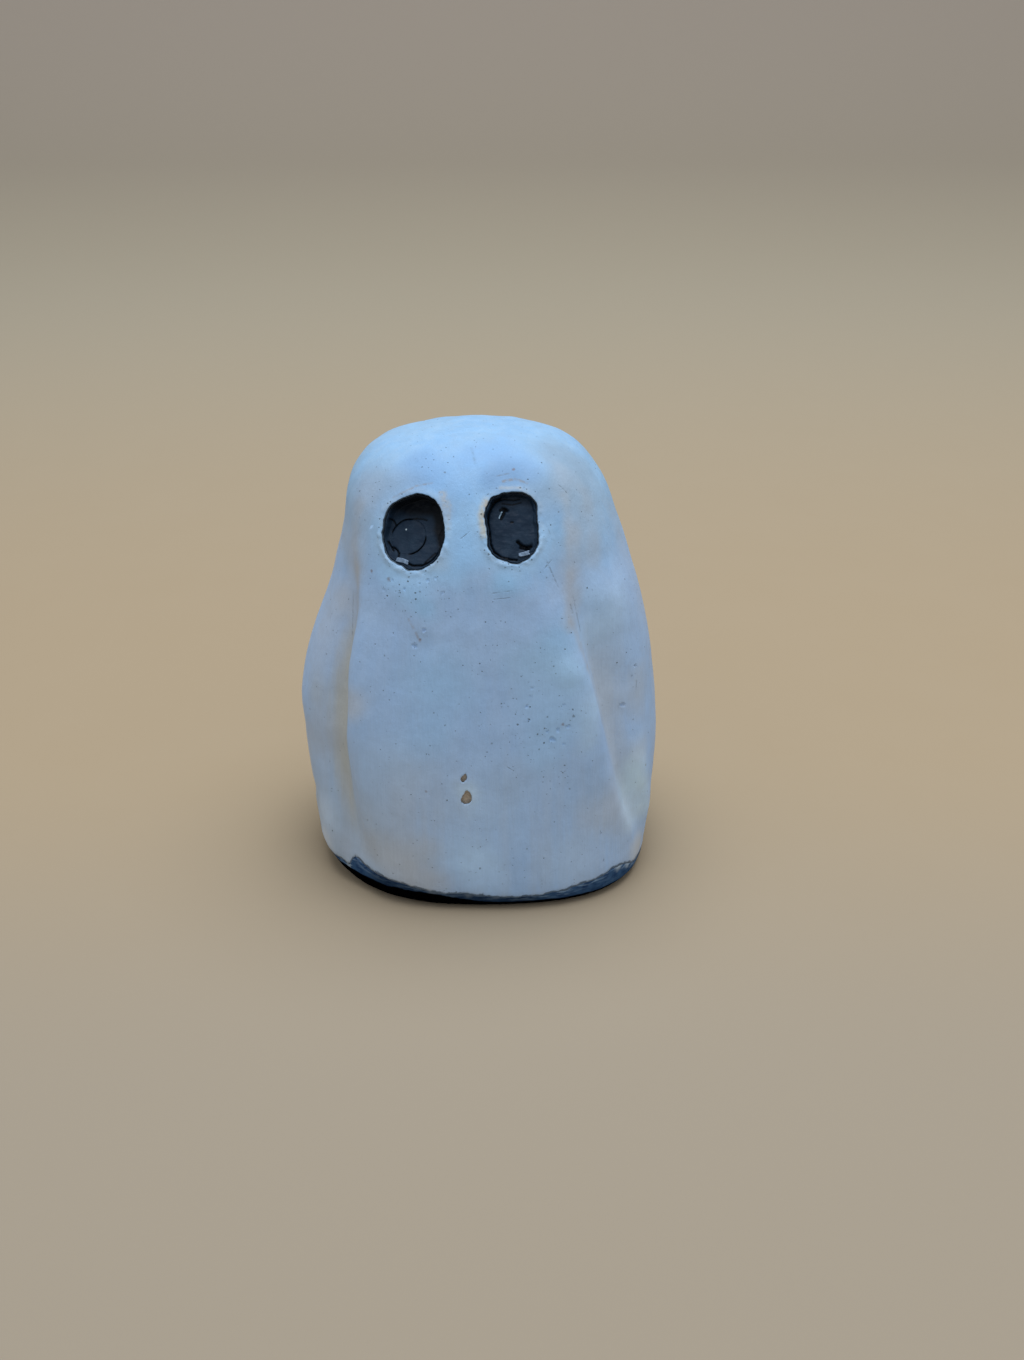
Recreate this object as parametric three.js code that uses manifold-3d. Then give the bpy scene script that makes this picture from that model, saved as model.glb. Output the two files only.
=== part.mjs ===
import * as THREE from "three";
import { mergeVertices } from "three/addons/utils/BufferGeometryUtils.js";
import Module from "manifold-3d";

// A palm-sized sheet ghost modelled in clay: a solid body under a thick white coat, on a navy foot,
// with two dark eyes pressed into the face.
// Millimetres. +X is the viewer's right, the face looks along -Y, +Z is up, and the origin is the
// middle of the underside. A turn is an angle about the upright axis, in degrees from the front
// towards +X. Left and right are the viewer's.

const wasm = await Module();
wasm.setup();

// Overall size
const HEIGHT = 75.2; // underside to the top of the head
const HALF_WIDTH = 30.8; // axis to the outermost point of the left arm
const HALF_DEPTH = 26; // axis to the foremost point of the sheet

// Coats and clearances
const COAT = 0.6; // thickness of the white coat, and of the navy coat up the side of the foot
const SOLE = 1; // thickness of the navy coat under the foot
const FIT = 0.3; // clearance between pieces that touch on the real figure

// Eyes
const LEFT_EYE_DEPTH = 2.6; // face to the floor of the left eye
const RIGHT_EYE_DEPTH = 1.9; // face to the floor of the right eye
const LINING = 0.7; // side wall of an eye's dark lining
const LINING_FLOOR = 1.5; // lining behind an eye's floor
const RIM_DROP = 0.4; // how far the lining's rim stays below the coat's surface
const PELLET_RADIUS = 2.7; // round pellet pressed into the left eye
const PELLET_THICKNESS = 0.8;
const FLAKE_THICKNESS = 0.35; // loose flakes of coat at the lower rims

// Folds of the sheet: how deep or how high each one is at its strongest
const LEFT_FOLD = 2.8;
const LEFT_CREST = 0.5;
const RIGHT_FOLD = 2.6;
const RIGHT_CREST = 0.9;
const RIGHT_HEM_LIP = 0.8;
const SHOULDER_BUMP = 0.6;
const SIDE_FOLD = 1.3;
const BACK_FOLD = 1.7;
const FOLD_SPREAD = 5; // how far a fold spreads to a side, of which its rows give shares

// Outlines and the foot's brushed line, whose tables give shares of these
const LEFT_EYE_REACH = 5; // middle of the left eye to its right side
const RIGHT_EYE_REACH = 4; // middle of the right eye to its right side
const FLAKE_REACH = 1; // middle of a flake to its end
const LOW_CHIP_REACH = 0.8; // middle of the lower chip to its right side
const HIGH_CHIP_REACH = 0.5; // middle of the upper chip to its right side
const HEM_HEIGHT = 4; // underside to the brushed line, where its share is 1

// Fineness of the mesh
const TURNS = 60; // facets round the figure
const CORNER_CROWDING = 6.5; // degrees by which the facets draw together at its corners
const ROWS = 25; // rows from the foot to the crown
const FOOT_ROWS = 2; // rows up the side of the foot
const OUTLINE_STEPS = 30; // points round an eye
const TURN_SPAN = 3; // degrees to either side over which the surface's direction is taken
const STEP_SPAN = 0.1; // share of a ring's spacing over which it is taken up and down
const HALVINGS = 40; // times that the search for a height halves its range
const ABOVE_FACE = 8; // how far a cutter stands out of the surface that it cuts

// Rings of the figure from the foot to the crown. The height is a share of HEIGHT. Left and right are
// percentages of HALF_WIDTH, front and back of HALF_DEPTH. The square values are the powers of the
// ring's rounded outline on its left and right, where 2 is an ellipse.
const RINGS = [
  { height: 0, left: 83, right: 84.5, front: 92.2, back: 89, squareLeft: 2.35, squareRight: 2.8 },
  { height: 0.021, left: 88.3, right: 89.6, front: 96.8, back: 94.5, squareLeft: 2.4, squareRight: 2.85 },
  { height: 0.066, left: 93.2, right: 90.8, front: 99, back: 97.5, squareLeft: 2.4, squareRight: 2.8 },
  { height: 0.146, left: 93.7, right: 93.3, front: 100, back: 98, squareLeft: 2.35, squareRight: 2.55 },
  { height: 0.226, left: 96.5, right: 95.3, front: 99, back: 98.5, squareLeft: 2.4, squareRight: 2.4 },
  { height: 0.319, left: 98.5, right: 95.5, front: 97.5, back: 97.5, squareLeft: 2.4, squareRight: 2.4 },
  { height: 0.412, left: 99, right: 93.5, front: 95.5, back: 96, squareLeft: 2.4, squareRight: 2.4 },
  { height: 0.532, left: 92, right: 90, front: 91.5, back: 91.5, squareLeft: 2.45, squareRight: 2.45 },
  { height: 0.665, left: 79.5, right: 82.5, front: 85.5, back: 85.5, squareLeft: 2.5, squareRight: 2.5 },
  { height: 0.798, left: 72.5, right: 71.5, front: 77, back: 77.5, squareLeft: 2.5, squareRight: 2.5 },
  { height: 0.891, left: 68, right: 62, front: 64, back: 67.5, squareLeft: 2.45, squareRight: 2.45 },
  { height: 0.957, left: 53, right: 47, front: 48, back: 50, squareLeft: 2.3, squareRight: 2.3 },
  { height: 0.992, left: 24.5, right: 22, front: 26, back: 28, squareLeft: 2.1, squareRight: 2.1 },
  { height: 1, left: 0, right: 0, front: 0, back: 0, squareLeft: 2, squareRight: 2 },
];

// Each fold follows a path down the sheet. A row of its path is: height as a share of HEIGHT, turn,
// strength as a share of the fold's size, and its spread to the left and right in shares of FOLD_SPREAD.
const FOLDS = [
  {
    size: -LEFT_FOLD,
    path: [
      [0.86, -70, 0, 1.2, 0.6],
      [0.78, -64, 0.15, 1.2, 0.6],
      [0.7, -58, 0.45, 1.2, 0.48],
      [0.62, -54.5, 0.75, 1.2, 0.44],
      [0.54, -52, 0.95, 1.2, 0.46],
      [0.42, -51, 1, 1.2, 0.58],
      [0.3, -51, 0.95, 1.2, 0.7],
      [0.17, -50, 0.75, 1, 0.84],
      [0.08, -48, 0.4, 1, 0.92],
      [0, -47, 0, 1, 0.8],
    ],
  },
  {
    size: LEFT_CREST,
    path: [
      [0.72, -52, 0, 0.4, 1],
      [0.62, -49.5, 1, 0.4, 1],
      [0.42, -46, 1, 0.4, 1],
      [0.3, -45, 0.8, 0.4, 1],
      [0.17, -44, 0, 0.4, 1],
    ],
  },
  {
    size: -RIGHT_FOLD,
    path: [
      [0.82, 34, 0, 0.8, 1],
      [0.71, 39, 0.3, 0.72, 1.2],
      [0.63, 42.5, 0.6, 0.64, 1.2],
      [0.56, 45, 0.9, 0.56, 1.1],
      [0.5, 46.5, 1, 0.56, 1],
      [0.44, 48, 0.95, 0.56, 0.8],
      [0.34, 50.5, 0.75, 0.56, 0.6],
      [0.25, 54, 0.6, 0.56, 0.56],
      [0.17, 58.5, 0.4, 0.56, 0.56],
      [0.08, 64, 0, 0.56, 0.56],
    ],
  },
  {
    size: RIGHT_CREST,
    path: [
      [0.78, 27, 0, 1.2, 0.6],
      [0.7, 30, 0.4, 1.2, 0.6],
      [0.56, 35, 1, 1.2, 0.6],
      [0.44, 38.5, 1, 1.2, 0.6],
      [0.33, 41.5, 0.8, 1.2, 0.6],
      [0.22, 47, 0.5, 1.2, 0.6],
      [0.1, 56, 0, 1.2, 0.6],
    ],
  },
  {
    size: RIGHT_HEM_LIP,
    path: [
      [0.42, 54, 0, 0.44, 0.8],
      [0.33, 56, 0.7, 0.44, 0.8],
      [0.24, 60, 1, 0.44, 0.8],
      [0.16, 64.5, 0.9, 0.44, 0.8],
      [0.07, 69, 0, 0.44, 0.8],
    ],
  },
  {
    size: SHOULDER_BUMP,
    path: [
      [0.78, 50, 0, 0.8, 1],
      [0.685, 52, 1, 0.8, 1],
      [0.59, 53, 0, 0.8, 1],
    ],
  },
  {
    size: -SIDE_FOLD,
    path: [
      [0.72, -112, 0, 1, 1],
      [0.5, -114, 0.8, 1, 1],
      [0.28, -117, 1, 1, 1],
      [0.03, -120, 0, 1, 1],
    ],
  },
  {
    size: -SIDE_FOLD,
    path: [
      [0.7, 115, 0, 1, 1],
      [0.45, 118, 1, 1, 1],
      [0.24, 120, 0.8, 1, 1],
      [0.02, 122, 0, 1, 1],
    ],
  },
  {
    size: -BACK_FOLD,
    path: [
      [0.8, 168, 0, 1, 1.2],
      [0.6, 165, 0.5, 1, 1.2],
      [0.35, 160, 1, 1, 1.4],
      [0.12, 156, 0.8, 1, 1.4],
      [0, 154, 0, 1, 1.4],
    ],
  },
  {
    size: -BACK_FOLD,
    path: [
      [0.68, -152, 0, 1.2, 1],
      [0.45, -154, 0.8, 1.2, 1],
      [0.2, -158, 1, 1.4, 1],
      [0.02, -161, 0, 1.4, 1],
    ],
  },
];

// The brushed line between the white coat and the navy foot: turn, height as a share of HEM_HEIGHT. It
// closes on itself at the back.
const HEM = [
  [-180, 0.85],
  [-130, 0.75],
  [-90, 0.9],
  [-62, 0.9],
  [-50, 1.35],
  [-41, 1.2],
  [-27, 0.875],
  [-10, 0.75],
  [12, 0.6],
  [22, 0.65],
  [37, 0.95],
  [50, 1.05],
  [62, 0.75],
  [90, 0.75],
  [135, 0.9],
  [180, 0.85],
];

// Eyes on the face: turn, height as a share of HEIGHT, and outline right and up from the eye's centre,
// in shares of its reach
const LEFT_EYE = {
  turn: -31.5,
  height: 0.848,
  reach: LEFT_EYE_REACH,
  outline: [
    [0.02, 1.16],
    [0.56, 1.06],
    [0.86, 0.72],
    [1, 0.16],
    [0.92, -0.52],
    [0.44, -1.06],
    [0.02, -1.14],
    [-0.36, -1.02],
    [-0.72, -0.88],
    [-0.94, -0.4],
    [-0.96, 0.32],
    [-0.64, 0.88],
  ],
};
const RIGHT_EYE = {
  turn: 13.6,
  height: 0.859,
  reach: RIGHT_EYE_REACH,
  outline: [
    [0.1, 1.35],
    [0.65, 1.25],
    [0.95, 0.85],
    [1, 0.2],
    [1.025, -0.5],
    [0.825, -1.05],
    [0.2, -1.375],
    [-0.4, -1.175],
    [-0.8, -0.75],
    [-0.925, -0.1],
    [-0.975, 0.55],
    [-0.65, 1.15],
  ],
};

// The round pellet, right and up from the left eye's centre in shares of the eye's reach
const PELLET_PLACE = [-0.14, -0.16];

// Flakes at the lower rims: place from the eye's centre in shares of the eye's reach, turned by an angle
// in degrees, and outline in shares of the flake's reach
const LEFT_FLAKE = {
  place: [-0.24, -0.74],
  tilt: -12,
  reach: FLAKE_REACH,
  outline: [
    [-1, 0.3],
    [0.2, 0.5],
    [1, 0.1],
    [0.7, -0.5],
    [-0.9, -0.4],
  ],
};
const RIGHT_FLAKE = {
  place: [0.375, -0.9],
  tilt: 14,
  reach: FLAKE_REACH,
  outline: [
    [-0.8, 0.2],
    [0.3, 0.4],
    [0.9, 0],
    [0.4, -0.4],
    [-0.7, -0.3],
  ],
};

// Chips through the coat, low on the front: turn, height as a share of HEIGHT, and outline about the
// middle in shares of its reach
const CHIPS = [
  {
    turn: -6.3,
    height: 0.287,
    reach: LOW_CHIP_REACH,
    outline: [
      [0.125, 1.625],
      [1, 0.5],
      [0.875, -0.875],
      [-0.25, -1.5],
      [-1.125, -0.625],
      [-0.625, 0.625],
    ],
  },
  {
    turn: -7.2,
    height: 0.334,
    reach: HIGH_CHIP_REACH,
    outline: [
      [0.6, 1.4],
      [1, 0],
      [-0.2, -1.6],
      [-1, -0.4],
      [-0.2, 0.8],
    ],
  },
];

const radians = THREE.MathUtils.degToRad;

// A smooth value between four neighbours, at a share of the way from b to c.
function blend(a, b, c, d, share) {
  const pull = (c - a) / 2;
  const push = (d - b) / 2;
  const s2 = share * share;
  const s3 = s2 * share;
  return (
    b * (2 * s3 - 3 * s2 + 1) +
    pull * (s3 - 2 * s2 + share) +
    c * (3 * s2 - 2 * s3) +
    push * (s3 - s2)
  );
}

// The ring at a fractional step of RINGS. Beyond the crown the outline comes down on the other side,
// so the top of the head is round.
function ringAt(step) {
  const last = RINGS.length - 1;
  const low = Math.min(Math.floor(step), last - 1);
  const over = RINGS[last - 1];
  const mirrored = { ...over, left: -over.left, right: -over.right, front: -over.front, back: -over.back };
  const four = [RINGS[Math.max(low - 1, 0)], RINGS[low], RINGS[low + 1], RINGS[low + 2] ?? mirrored];
  const value = (key) => blend(...four.map((ring) => ring[key]), step - low);
  return {
    height: value("height") * HEIGHT,
    left: (value("left") / 100) * HALF_WIDTH,
    right: (value("right") / 100) * HALF_WIDTH,
    front: (value("front") / 100) * HALF_DEPTH,
    back: (value("back") / 100) * HALF_DEPTH,
    squareLeft: value("squareLeft"),
    squareRight: value("squareRight"),
  };
}

// The step of RINGS that lies at a height in millimetres.
function stepAt(height) {
  let low = 0;
  let high = RINGS.length - 1;
  for (let i = 0; i < HALVINGS; i++) {
    const middle = (low + high) / 2;
    if (ringAt(middle).height < height) low = middle;
    else high = middle;
  }
  return (low + high) / 2;
}

// The row of a table at a value of its first column, smooth between the rows and held at the ends.
function rowAt(table, at) {
  const rows = table[0][0] < table[1][0] ? table : [...table].reverse();
  const last = rows.length - 1;
  if (at <= rows[0][0]) return rows[0];
  if (at >= rows[last][0]) return rows[last];
  const next = rows.findIndex((row) => row[0] > at);
  const four = [rows[Math.max(next - 2, 0)], rows[next - 1], rows[next], rows[Math.min(next + 1, last)]];
  const share = (at - four[1][0]) / (four[2][0] - four[1][0]);
  return four[1].map((_, column) => blend(...four.map((row) => row[column]), share));
}

// The shorter way round from one turn to another.
function turnBetween(from, to) {
  return ((((to - from) % 360) + 540) % 360) - 180;
}

// How far the folds push the sheet out, or draw it in, at a turn and a height.
function foldOffset(turn, height, radius) {
  let offset = 0;
  for (const { size, path } of FOLDS) {
    const [, centre, strength, leftSpread, rightSpread] = rowAt(path, height / HEIGHT);
    const aside = radians(turnBetween(centre, turn)) * radius;
    const width = (aside < 0 ? leftSpread : rightSpread) * FOLD_SPREAD;
    offset += size * Math.max(strength, 0) * Math.exp(-((aside / width) ** 2));
  }
  return offset;
}

// A point of the figure without its folds, in the direction of a turn, let out by an amount there.
function plainPoint(turn, step, letOut = () => 0) {
  const ring = ringAt(step);
  const across = Math.sin(radians(turn));
  const ahead = Math.cos(radians(turn));
  const side = Math.max(across < 0 ? ring.left : ring.right, 1e-6);
  const depth = Math.max(ahead > 0 ? ring.front : ring.back, 1e-6);
  const square = across < 0 ? ring.squareLeft : ring.squareRight;
  const sum = Math.abs(across / side) ** square + Math.abs(ahead / depth) ** square;
  const radius = sum ** (-1 / square);
  const reach = radius + letOut(turn, ring.height, radius);
  return new THREE.Vector3(across * reach, -ahead * reach, ring.height);
}

// A point of the sheet's outer surface, folds included.
function sheetPoint(turn, step) {
  return plainPoint(turn, step, foldOffset);
}

// The outward direction of the figure without its folds.
function plainNormal(turn, step) {
  const crown = RINGS.length - 1;
  if (step > crown - STEP_SPAN) return new THREE.Vector3(0, 0, 1);
  const along = plainPoint(turn + TURN_SPAN, step).sub(plainPoint(turn - TURN_SPAN, step));
  const low = Math.max(step - STEP_SPAN, 0);
  const up = plainPoint(turn, step + STEP_SPAN).sub(plainPoint(turn, low));
  return along.cross(up).normalize();
}

// A point of a layer that lies an inset below the outer surface. It moves towards the axis and down,
// and keeps its turn, so that the layers nest in every fold.
function layerPoint(turn, step, inset) {
  const outward = new THREE.Vector3(Math.sin(radians(turn)), -Math.cos(radians(turn)), 0);
  const normal = plainNormal(turn, step);
  const slant = Math.max(normal.dot(outward), 1e-6);
  const towardsAxis = (normal.x ** 2 + normal.y ** 2) / slant;
  const point = sheetPoint(turn, step).addScaledVector(outward, -inset * towardsAxis);
  return point.setZ(point.z - inset * normal.z);
}

// The turns of the mesh's upright edges, closer together at the four corners, where the folds are.
const turns = Array.from({ length: TURNS }, (_, i) => {
  const even = (i * 360) / TURNS - 180;
  return even + CORNER_CROWDING * Math.sin(radians(even * 4));
});

// One closed ring of points of a layer, at a step that may change with the turn.
function layerRing(stepOf, inset) {
  return turns.map((turn) => layerPoint(turn, stepOf(turn), inset));
}

// Rows of a layer up the side of the foot, from one line round the figure to another.
function footRows(fromStep, toStep, inset) {
  return Array.from({ length: FOOT_ROWS + 1 }, (_, row) =>
    layerRing((turn) => THREE.MathUtils.lerp(fromStep(turn), toStep(turn), row / FOOT_ROWS), inset),
  );
}

// Rows of a layer from a line round the foot up to the crown. Above the foot they are at the same
// heights in every layer, so that the layers nest.
function layerRows(fromStep, inset) {
  return [layerRing(fromStep, inset), ...upperSteps.map((step) => layerRing(() => step, inset))];
}

// A closed solid from rings that run from a point on the axis, out, up and back to the axis. Each
// facet is split along the same diagonal whether its layer rises or falls.
function loft(start, rings, end) {
  const position = [start, ...rings.flat(), end].flatMap((p) => [p.x, p.y, p.z]);
  const last = rings.length * TURNS + 1;
  const index = [];
  for (let i = 0; i < TURNS; i++) {
    const j = (i + 1) % TURNS;
    index.push(0, 1 + j, 1 + i);
    for (let ring = 0; ring < rings.length - 1; ring++) {
      const [a, b] = [1 + ring * TURNS + i, 1 + ring * TURNS + j];
      const [c, d] = [b + TURNS, a + TURNS];
      const rising = rings[ring + 1][i].z > rings[ring][i].z;
      index.push(...(rising ? [a, b, c, a, c, d] : [a, b, d, b, c, d]));
    }
    index.push(last, last - TURNS + i, last - TURNS + j);
  }
  const geometry = new THREE.BufferGeometry();
  geometry.setAttribute("position", new THREE.Float32BufferAttribute(position, 3));
  geometry.setIndex(index);
  return toSolid(geometry);
}

function toSolid(geometry) {
  geometry.deleteAttribute("normal");
  geometry.deleteAttribute("uv");
  const merged = mergeVertices(geometry, 1e-4);
  const mesh = new wasm.Mesh({
    numProp: 3,
    vertProperties: new Float32Array(merged.attributes.position.array),
    triVerts: new Uint32Array(merged.index.array),
  });
  return new wasm.Manifold(mesh);
}

function toGeometry(solid) {
  const { numProp, numVert, vertProperties, triVerts } = solid.getMesh();
  const position = new Float32Array(numVert * 3);
  for (let i = 0; i < numVert; i++) {
    position.set(vertProperties.subarray(i * numProp, i * numProp + 3), i * 3);
  }
  const geometry = new THREE.BufferGeometry();
  geometry.setAttribute("position", new THREE.BufferAttribute(position, 3));
  geometry.setIndex(new THREE.BufferAttribute(new Uint32Array(triVerts), 1));
  geometry.computeVertexNormals();
  return geometry;
}

// A frame on the sheet, at a turn and at a height given as a share of HEIGHT. Its third axis points out
// of the surface and its second one up.
function seatAt({ turn, height }) {
  const step = stepAt(height * HEIGHT);
  const out = plainNormal(turn, step);
  const right = new THREE.Vector3(0, 0, 1).cross(out).normalize();
  const up = out.clone().cross(right);
  return new THREE.Matrix4().makeBasis(right, up, out).setPosition(sheetPoint(turn, step));
}

// A smooth closed outline through the few points of an eye or a chip.
function smoothOutline({ outline, reach }) {
  const curve = new THREE.CatmullRomCurve3(
    outline.map(([x, y]) => new THREE.Vector3(x * reach, y * reach, 0)),
    true,
  );
  return curve.getSpacedPoints(OUTLINE_STEPS).slice(0, OUTLINE_STEPS).map((p) => new THREE.Vector2(p.x, p.y));
}

// An outline, given clockwise, drawn in by an inset, or let out by a negative one.
function drawnIn(outline, inset) {
  return outline.map((point, i) => {
    const before = outline[(i + outline.length - 1) % outline.length];
    const after = outline[(i + 1) % outline.length];
    const inward = after.clone().sub(before).rotateAround(new THREE.Vector2(), -Math.PI / 2);
    return point.clone().addScaledVector(inward.normalize(), inset);
  });
}

// A prism over an outline of the seat's own plane, from one level to another along its third axis.
function prism(outline, from, to, seat) {
  const geometry = new THREE.ExtrudeGeometry(new THREE.Shape(outline), {
    depth: to - from,
    bevelEnabled: false,
    steps: 1,
  });
  return toSolid(geometry.translate(0, 0, from).applyMatrix4(seat));
}

const hemStep = (turn) => stepAt(rowAt(HEM, turn)[1] * HEM_HEIGHT);
const aboveHemStep = (turn) => stepAt(rowAt(HEM, turn)[1] * HEM_HEIGHT + FIT);
const highestHem = Math.max(...HEM.map(([, share]) => share)) * HEM_HEIGHT;
const firstUpper = stepAt(highestHem + 2 * FIT);
const upperSteps = Array.from({ length: ROWS }, (_, row) =>
  THREE.MathUtils.lerp(firstUpper, RINGS.length - 1, row / ROWS),
);
const crownBelow = (inset) => new THREE.Vector3(0, 0, HEIGHT - inset);

// A solid of everything inside a layer, from the sole up to the crown.
function insideLayer(inset) {
  const rows = layerRows(() => stepAt(SOLE), inset);
  rows[0].forEach((point) => point.setZ(SOLE));
  return loft(new THREE.Vector3(0, 0, SOLE), rows, crownBelow(inset));
}

function whiteCoat(holes) {
  const inner = layerRows(aboveHemStep, COAT).reverse();
  let coat = loft(crownBelow(COAT), [...inner, ...layerRows(aboveHemStep, 0)], crownBelow(0));
  for (const hole of holes) coat = coat.subtract(hole);
  return coat;
}

function footCoat() {
  const outer = footRows(() => 0, hemStep, 0);
  const inner = footRows(hemStep, () => stepAt(SOLE), COAT);
  inner[FOOT_ROWS].forEach((point) => point.setZ(SOLE));
  return loft(new THREE.Vector3(), [...outer, ...inner], new THREE.Vector3(0, 0, SOLE));
}

// The hole that an eye or a chip makes, from a level below the surface to well above it.
function holeAt(place, depth) {
  return prism(smoothOutline(place), -depth, ABOVE_FACE, seatAt(place));
}

// The dark dish that lines an eye's socket. Its rim follows the sheet, a little below the coat.
function eyeLining(eye, depth, trim) {
  const seat = seatAt(eye);
  const outline = smoothOutline(eye);
  const outside = prism(drawnIn(outline, FIT), -depth - LINING_FLOOR, ABOVE_FACE, seat);
  const inside = prism(drawnIn(outline, FIT + LINING), -depth, ABOVE_FACE, seat);
  return outside.subtract(inside).intersect(trim);
}

// A cylinder set square in the left eye's floor.
function pelletSolid(radius, from, to) {
  const round = new THREE.CylinderGeometry(radius, radius, to - from, OUTLINE_STEPS);
  const place = PELLET_PLACE.map((share) => share * LEFT_EYE_REACH);
  round.rotateX(Math.PI / 2).translate(...place, (from + to) / 2);
  return toSolid(round.applyMatrix4(seatAt(LEFT_EYE)));
}

// A thin flake of coat that lies on an eye's floor, inside its lower rim.
function flakeSolid(flake, eye, depth) {
  const place = flake.place.map((share) => share * eye.reach);
  const turned = new THREE.Matrix4().makeRotationZ(radians(flake.tilt)).setPosition(...place, 0);
  const outline = flake.outline.map(([x, y]) => new THREE.Vector2(x * flake.reach, y * flake.reach));
  return prism(outline, FIT - depth, FIT - depth + FLAKE_THICKNESS, seatAt(eye).multiply(turned));
}

function pieceMesh(name, solid, color, roughness) {
  const material = new THREE.MeshStandardMaterial({ color, roughness, metalness: 0 });
  const mesh = new THREE.Mesh(toGeometry(solid), material);
  mesh.name = name;
  return mesh;
}

const leftSocket = holeAt(LEFT_EYE, LEFT_EYE_DEPTH + LINING_FLOOR + FIT);
const rightSocket = holeAt(RIGHT_EYE, RIGHT_EYE_DEPTH + LINING_FLOOR + FIT);
const chipHoles = CHIPS.map((chip) => holeAt(chip, COAT + FIT / 2));
const rimTrim = insideLayer(RIM_DROP);

const clayBody = insideLayer(COAT + FIT).subtract(leftSocket).subtract(rightSocket);
const pelletTop = -LEFT_EYE_DEPTH;
const pelletSeat = pelletSolid(PELLET_RADIUS + FIT, pelletTop - PELLET_THICKNESS - FIT, ABOVE_FACE);
const leftEye = eyeLining(LEFT_EYE, LEFT_EYE_DEPTH, rimTrim).subtract(pelletSeat);
const leftEyePellet = pelletSolid(PELLET_RADIUS, pelletTop - PELLET_THICKNESS, pelletTop);
const rightEye = eyeLining(RIGHT_EYE, RIGHT_EYE_DEPTH, rimTrim);
const leftEyeFlake = flakeSolid(LEFT_FLAKE, LEFT_EYE, LEFT_EYE_DEPTH);
const rightEyeFlake = flakeSolid(RIGHT_FLAKE, RIGHT_EYE, RIGHT_EYE_DEPTH);

const ghost = new THREE.Group();
ghost.add(
  pieceMesh("clay_body", clayBody, 0x7a7267, 0.85),
  pieceMesh("white_coat", whiteCoat([leftSocket, rightSocket, ...chipHoles]), 0xa9cbe8, 0.65),
  pieceMesh("foot_coat", footCoat(), 0x1f3350, 0.6),
  pieceMesh("left_eye", leftEye, 0x20292f, 0.4),
  pieceMesh("left_eye_pellet", leftEyePellet, 0x252e34, 0.4),
  pieceMesh("right_eye", rightEye, 0x20292f, 0.4),
  pieceMesh("left_eye_flake", leftEyeFlake, 0x9aa39c, 0.6),
  pieceMesh("right_eye_flake", rightEyeFlake, 0x9aa39c, 0.6),
);

export default ghost;
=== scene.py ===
import math

import bmesh
import bpy
import numpy as np
from mathutils import Matrix, Vector, noise


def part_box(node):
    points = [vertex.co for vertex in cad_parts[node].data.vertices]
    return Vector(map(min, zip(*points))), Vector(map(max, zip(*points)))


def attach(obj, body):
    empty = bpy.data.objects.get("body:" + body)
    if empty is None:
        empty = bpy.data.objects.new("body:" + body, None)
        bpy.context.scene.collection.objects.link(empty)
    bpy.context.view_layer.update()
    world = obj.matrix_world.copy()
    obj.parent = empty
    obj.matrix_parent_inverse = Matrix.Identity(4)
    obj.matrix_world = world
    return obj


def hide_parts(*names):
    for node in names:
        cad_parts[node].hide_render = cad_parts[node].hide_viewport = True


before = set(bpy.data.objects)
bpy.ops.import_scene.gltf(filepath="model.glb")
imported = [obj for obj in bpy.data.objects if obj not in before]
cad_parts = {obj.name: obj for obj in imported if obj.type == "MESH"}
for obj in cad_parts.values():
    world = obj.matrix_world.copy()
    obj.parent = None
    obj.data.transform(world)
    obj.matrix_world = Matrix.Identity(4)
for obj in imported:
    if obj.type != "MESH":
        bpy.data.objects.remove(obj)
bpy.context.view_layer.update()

# A palm-sized sheet ghost in clay. Shapes are worked out in millimetres and made in metres. A turn is an
# angle about the upright axis, in degrees from the front (-Y) towards +X. Left is the viewer's left.

MM = 0.001

# Overall size
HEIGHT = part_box("white_coat")[1].z / MM
HALF_WIDTH = 30.8
HALF_DEPTH = 26.0

# Coats and gaps
COAT = 0.5  # thickness of the white coat
SOLE = 1.0  # thickness of the navy coat under the foot
OVERLAP = 1.1  # how far the foot's navy coat runs up under the white one
STEP_DOWN = 0.12  # how far the navy coat lies below the white one there
FOOT_ROUND = 1.0  # height of the foot's rounded bottom edge

# Fineness
TURNS = 264  # points round the coat
ROWS = 128  # rings of them, from the brushed line to the crown
FRONT_CROWDING = 0.42  # how much closer together the upright edges are at the front than on the sides
RIM_POINTS = 180  # points round an eye in the coat
LINING_POINTS = 280  # points round an eye's lining

# Folds of the sheet
LEFT_FOLD = 2.8
LEFT_CREST = 0.55
RIGHT_FOLD = 2.6
RIGHT_CREST = 0.9
RIGHT_HEM_LIP = 0.8
SHOULDER_BUMP = 0.6
SIDE_FOLD = 1.3
BACK_FOLD = 1.7

# Rings of the figure: height as a share of HEIGHT; left and right in percent of HALF_WIDTH; front and
# back in percent of HALF_DEPTH; then how square the ring is on its left and on its right.
RINGS = np.array([
    (0, 83, 84.5, 92.2, 89, 2.35, 2.8), (0.021, 88.3, 89.6, 96.8, 94.5, 2.4, 2.85),
    (0.066, 93.2, 90.8, 99, 97.5, 2.4, 2.8), (0.146, 93.7, 93.3, 100, 98, 2.35, 2.55),
    (0.226, 96.5, 95.3, 99, 98.5, 2.4, 2.4), (0.319, 98.5, 95.5, 97.5, 97.5, 2.4, 2.4),
    (0.412, 99, 93.5, 95.5, 96, 2.4, 2.4), (0.532, 92, 90, 91.5, 91.5, 2.45, 2.45),
    (0.665, 79.5, 82.5, 85.5, 85.5, 2.5, 2.5), (0.798, 72.5, 71.5, 77, 77.5, 2.5, 2.5),
    (0.891, 68, 62, 64, 67.5, 2.45, 2.45), (0.957, 53, 47, 48, 50, 2.3, 2.3),
    (0.992, 24.5, 22, 26, 28, 2.1, 2.1), (1, 0, 0, 0, 0, 2, 2),
])
CROWN = len(RINGS) - 1

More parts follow.
